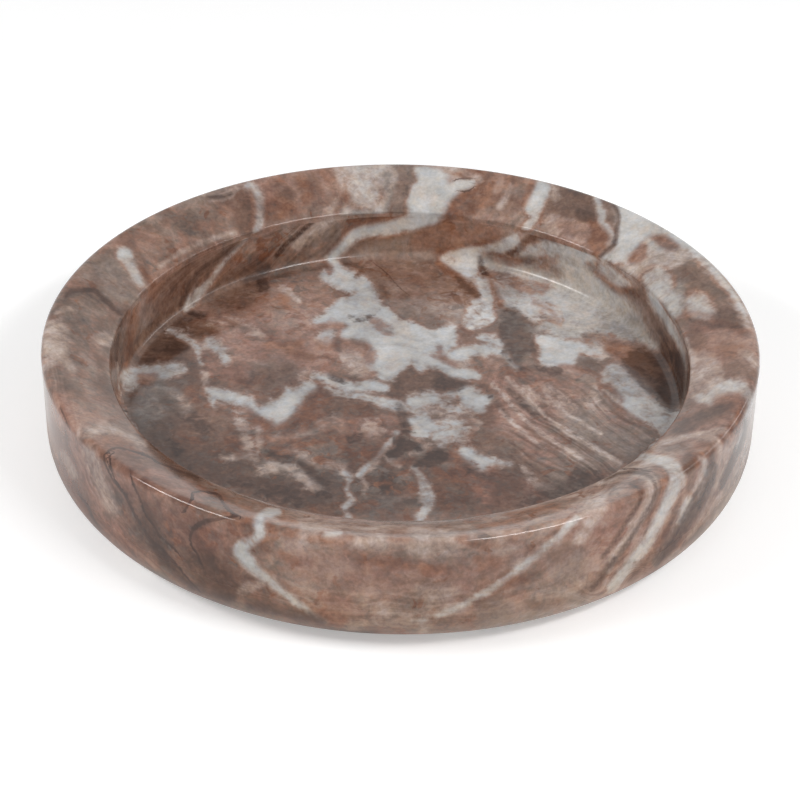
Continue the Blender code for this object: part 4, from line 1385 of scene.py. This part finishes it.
# felt pads under the stone, pressed from short fibres
feltPad = {
    "count": 4,
    "inset": 0.00006,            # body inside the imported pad, which leaves room for the fibres
    "edgeRound": 0.0004,
    "edgeSteps": 4,
    "segments": 96,
    "ringStep": 0.0005,
    "nap": 0.00006,              # how uneven the felt is
    "napScale": 1400.0,
    "napDetail": 2.0,
    "fibreCount": 900000.0,      # fibres to a square metre of felt
    "fibreLength": 0.0009,
    "fibreRadius": 0.000018,
    "fibreSteps": 4,             # straight runs that make up a bent fibre
    "fibreSides": 3,
    "fibreReach": 0.0006,        # fibres keep this far from an edge
    "seed": 11,
}
feltLook = {
    "colours": [(70, 54, 44), (104, 86, 73), (134, 116, 101)],
    "matted": (900, 4, 0.6, 1.5),
    "tufts": (250, 3, 0.6),
    "shade": {"matted": 0.8, "tufts": 0.4},
    "roughness": (-0.3, 0.3, 0.85, 1.0),
    "bump": (0.5, 0.0002),
}
feltInputs = {**latheInputs, "Place": "Vector", "Nap": "Float", "Fibres": "Float",
              "Fibre Length": "Float", "Fibre Radius": "Float", "Seed": "Int"}


def padOutline(shape, radius, height):
    low, high = Vector((radius, shape["inset"])), Vector((radius, height - shape["inset"]))
    under, over = Vector((0, low.y)), Vector((0, high.y))
    lowArc = easeCorner(high, low, under, shape["edgeRound"], shape["edgeSteps"])
    highArc = easeCorner(over, high, low, shape["edgeRound"], shape["edgeSteps"])
    outline = [over, *between(over, highArc[0], shape["ringStep"]), *highArc,
               *between(highArc[-1], lowArc[0], shape["ringStep"]), *lowArc,
               *between(lowArc[-1], under, shape["ringStep"]), under]
    return [(p.x, p.y) for p in outline]


def bentFibre(tree, length, radius, shape):
    half = calc(tree, "MULTIPLY", length, 0.5)
    ends = [joinVector(tree, x, y) for x, y in
            ((calc(tree, "MULTIPLY", half, -1.0), 0.0), (0.0, half), (half, 0.0))]
    bend = addNode(tree, "GeometryNodeCurveQuadraticBezier",
                   {"Resolution": shape["fibreSteps"], "Start": ends[0], "Middle": ends[1], "End": ends[2]})
    section = addNode(tree, "GeometryNodeCurvePrimitiveCircle",
                      {"Resolution": shape["fibreSides"], "Radius": radius})
    return addNode(tree, "GeometryNodeCurveToMesh", {"Curve": bend.outputs[0], "Fill Caps": True,
                                                     "Profile Curve": section.outputs[0]}).outputs[0]


def feltTree(lathe, shape, radius, height):
    # turns a pad, roughens it and strews short bent fibres over its faces
    tree, given = beginTree("pressFelt", feltInputs)
    turned = addNode(tree, "GeometryNodeGroup", node_tree=lathe)
    for name in latheInputs:
        tree.links.new(given[name], turned.inputs[name])
    place = tree.nodes.new("GeometryNodeInputPosition").outputs[0]
    noise = addNode(tree, "ShaderNodeTexNoise",
                    {"Vector": place, "W": given["Seed"], "Scale": shape["napScale"],
                     "Detail": shape["napDetail"]}, noise_dimensions="4D").outputs[0]
    sunk = calc(tree, "MULTIPLY", calc(tree, "SUBTRACT", noise, 1.0), given["Nap"])
    normal = tree.nodes.new("GeometryNodeInputNormal").outputs[0]
    shift = vectorCalc(tree, "SCALE", normal, scale=sunk)
    body = addNode(tree, "GeometryNodeSetPosition",
                   {"Geometry": turned.outputs[0], "Offset": shift}).outputs[0]
    # fibres lie on the flat faces and round the middle of the side, clear of the edges
    x, y, z = splitVector(tree, place)
    reach = vectorCalc(tree, "LENGTH", joinVector(tree, x, y))
    inside = calc(tree, "LESS_THAN", reach, radius - shape["fibreReach"])
    offMiddle = calc(tree, "ABSOLUTE", calc(tree, "SUBTRACT", z, height / 2))
    beside = calc(tree, "LESS_THAN", offMiddle, height / 2 - shape["fibreReach"])
    density = calc(tree, "MULTIPLY", calc(tree, "MAXIMUM", inside, beside), given["Fibres"])
    strewn = addNode(tree, "GeometryNodeDistributePointsOnFaces",
                     {"Mesh": body, "Density": density, "Seed": given["Seed"]}).outputs
    turn = addNode(tree, "FunctionNodeRandomValue", {"Min": 0.0, "Max": math.tau, "Seed": given["Seed"]},
                   data_type="FLOAT").outputs["Value"]
    spun = addNode(tree, "FunctionNodeAxisAngleToRotation", {"Axis": (0, 0, 1), "Angle": turn}).outputs[0]
    aimed = addNode(tree, "FunctionNodeRotateRotation",
                    {"Rotation": strewn["Rotation"], "Rotate By": spun}, rotation_space="LOCAL").outputs[0]
    fibre = bentFibre(tree, given["Fibre Length"], given["Fibre Radius"], shape)
    laid = addNode(tree, "GeometryNodeInstanceOnPoints",
                   {"Points": strewn["Points"], "Instance": fibre, "Rotation": aimed}).outputs[0]
    both = tree.nodes.new("GeometryNodeJoinGeometry")
    tree.links.new(laid, both.inputs[0])
    tree.links.new(body, both.inputs[0])
    moved = addNode(tree, "GeometryNodeTransform",
                    {"Geometry": both.outputs[0], "Translation": given["Place"]}).outputs[0]
    return endTree(tree, moved, given["Finish"])


def finishFelt(material, look):
    material.use_nodes = True
    tree = material.node_tree
    shader = tree.nodes["Principled BSDF"]
    place = addNode(tree, "ShaderNodeTexCoord").outputs["Object"]
    part = {name: cloud(tree, place, *look[name]) for name in look["shade"]}
    value = blend(tree, part, look["shade"])
    tree.links.new(shades(tree, value, look["colours"]), shader.inputs["Base Color"])
    tree.links.new(fade(tree, part["matted"], *look["roughness"]), shader.inputs["Roughness"])
    addBump(tree, part["matted"], *look["bump"])


felt = bpy.data.materials.new("brown_felt_fibres")
finishFelt(felt, feltLook)
for number in range(1, feltPad["count"] + 1):
    low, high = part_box(f"foot_pad_{number}")
    middle = (low + high) / 2
    radius, height = (high.x - low.x) / 2 - feltPad["inset"], high.z - low.z
    pad = drawSection(f"felt_pad_{number}", padOutline(feltPad, radius, height))
    applyTree(pad, feltTree(lathe, feltPad, radius, height), {
        "Segments": feltPad["segments"], "Merge Distance": mergeDistance, "Finish": felt,
        "Place": (middle.x, middle.y, low.z), "Nap": feltPad["nap"], "Fibres": feltPad["fibreCount"],
        "Fibre Length": feltPad["fibreLength"], "Fibre Radius": feltPad["fibreRadius"],
        "Seed": feltPad["seed"] + number})
    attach(pad, "root")
    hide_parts(f"foot_pad_{number}")
    print("felt pad", number, "made:", len(pad.data.polygons), "faces")

# table and light
tableSet = {
    "size": 4.0,
    "colour": (0.80, 0.80, 0.80),
    "roughness": 0.6,
    "glow": 0.35,                # lifts the table to white where the camera looks at it
    "fill": 0.27,                # light of the surroundings on the object
}
softBoxes = {
    # place, width, height, watts
    "left": ((-1.0, -0.33, 0.92), 0.7, 0.16, 8.5),
    "right": ((0.66, -0.66, 1.02), 0.7, 0.16, 8.5),
    "farRight": ((1.25, 0.25, 0.80), 1.6, 0.06, 4),
    "front": ((0.0, -1.4, 1.2), 2.4, 1.4, 3),
}


def showsBackground(tree):
    # 1 for what the camera sees directly, in a gloss or through glass
    ray = tree.nodes.new("ShaderNodeLightPath").outputs
    seenOrGlossy = calc(tree, "MAXIMUM", ray["Is Camera Ray"], ray["Is Glossy Ray"])
    return calc(tree, "MAXIMUM", seenOrGlossy, ray["Is Transmission Ray"])


def makeTable(spec):
    half = spec["size"] / 2
    mesh = bpy.data.meshes.new("table")
    mesh.from_pydata([(-half, -half, 0), (half, -half, 0), (half, half, 0), (-half, half, 0)], [],
                     [(0, 1, 2, 3)])
    table = bpy.data.objects.new("table", mesh)
    bpy.context.scene.collection.objects.link(table)
    material = bpy.data.materials.new("pale_table")
    material.use_nodes = True
    tree = material.node_tree
    shader = tree.nodes["Principled BSDF"]
    shader.inputs["Roughness"].default_value = spec["roughness"]
    shader.inputs["Base Color"].default_value = (*spec["colour"], 1)
    shader.inputs["Emission Color"].default_value = (1, 1, 1, 1)
    shown = showsBackground(tree)
    tree.links.new(calc(tree, "MULTIPLY", shown, spec["glow"]), shader.inputs["Emission Strength"])
    mesh.materials.append(material)


def lightRoom(spec, boxes):
    world = bpy.data.worlds.new("room")
    bpy.context.scene.world = world
    world.use_nodes = True
    tree = world.node_tree
    strength = fade(tree, showsBackground(tree), 0, 1, spec["fill"], 1.0)
    tree.links.new(strength, tree.nodes["Background"].inputs["Strength"])
    tree.nodes["Background"].inputs["Color"].default_value = (1, 1, 1, 1)
    for name, (place, width, height, watts) in boxes.items():
        lamp = bpy.data.lights.new(name, "AREA")
        lamp.shape = "RECTANGLE"
        lamp.size, lamp.size_y, lamp.energy = width, height, watts
        holder = bpy.data.objects.new(name, lamp)
        holder.location = place
        holder.rotation_euler = (-Vector(place)).to_track_quat("-Z", "Y").to_euler()
        bpy.context.scene.collection.objects.link(holder)


makeTable(tableSet)
lightRoom(tableSet, softBoxes)
bpy.context.scene.view_settings.view_transform = "Standard"
print("table and light set")
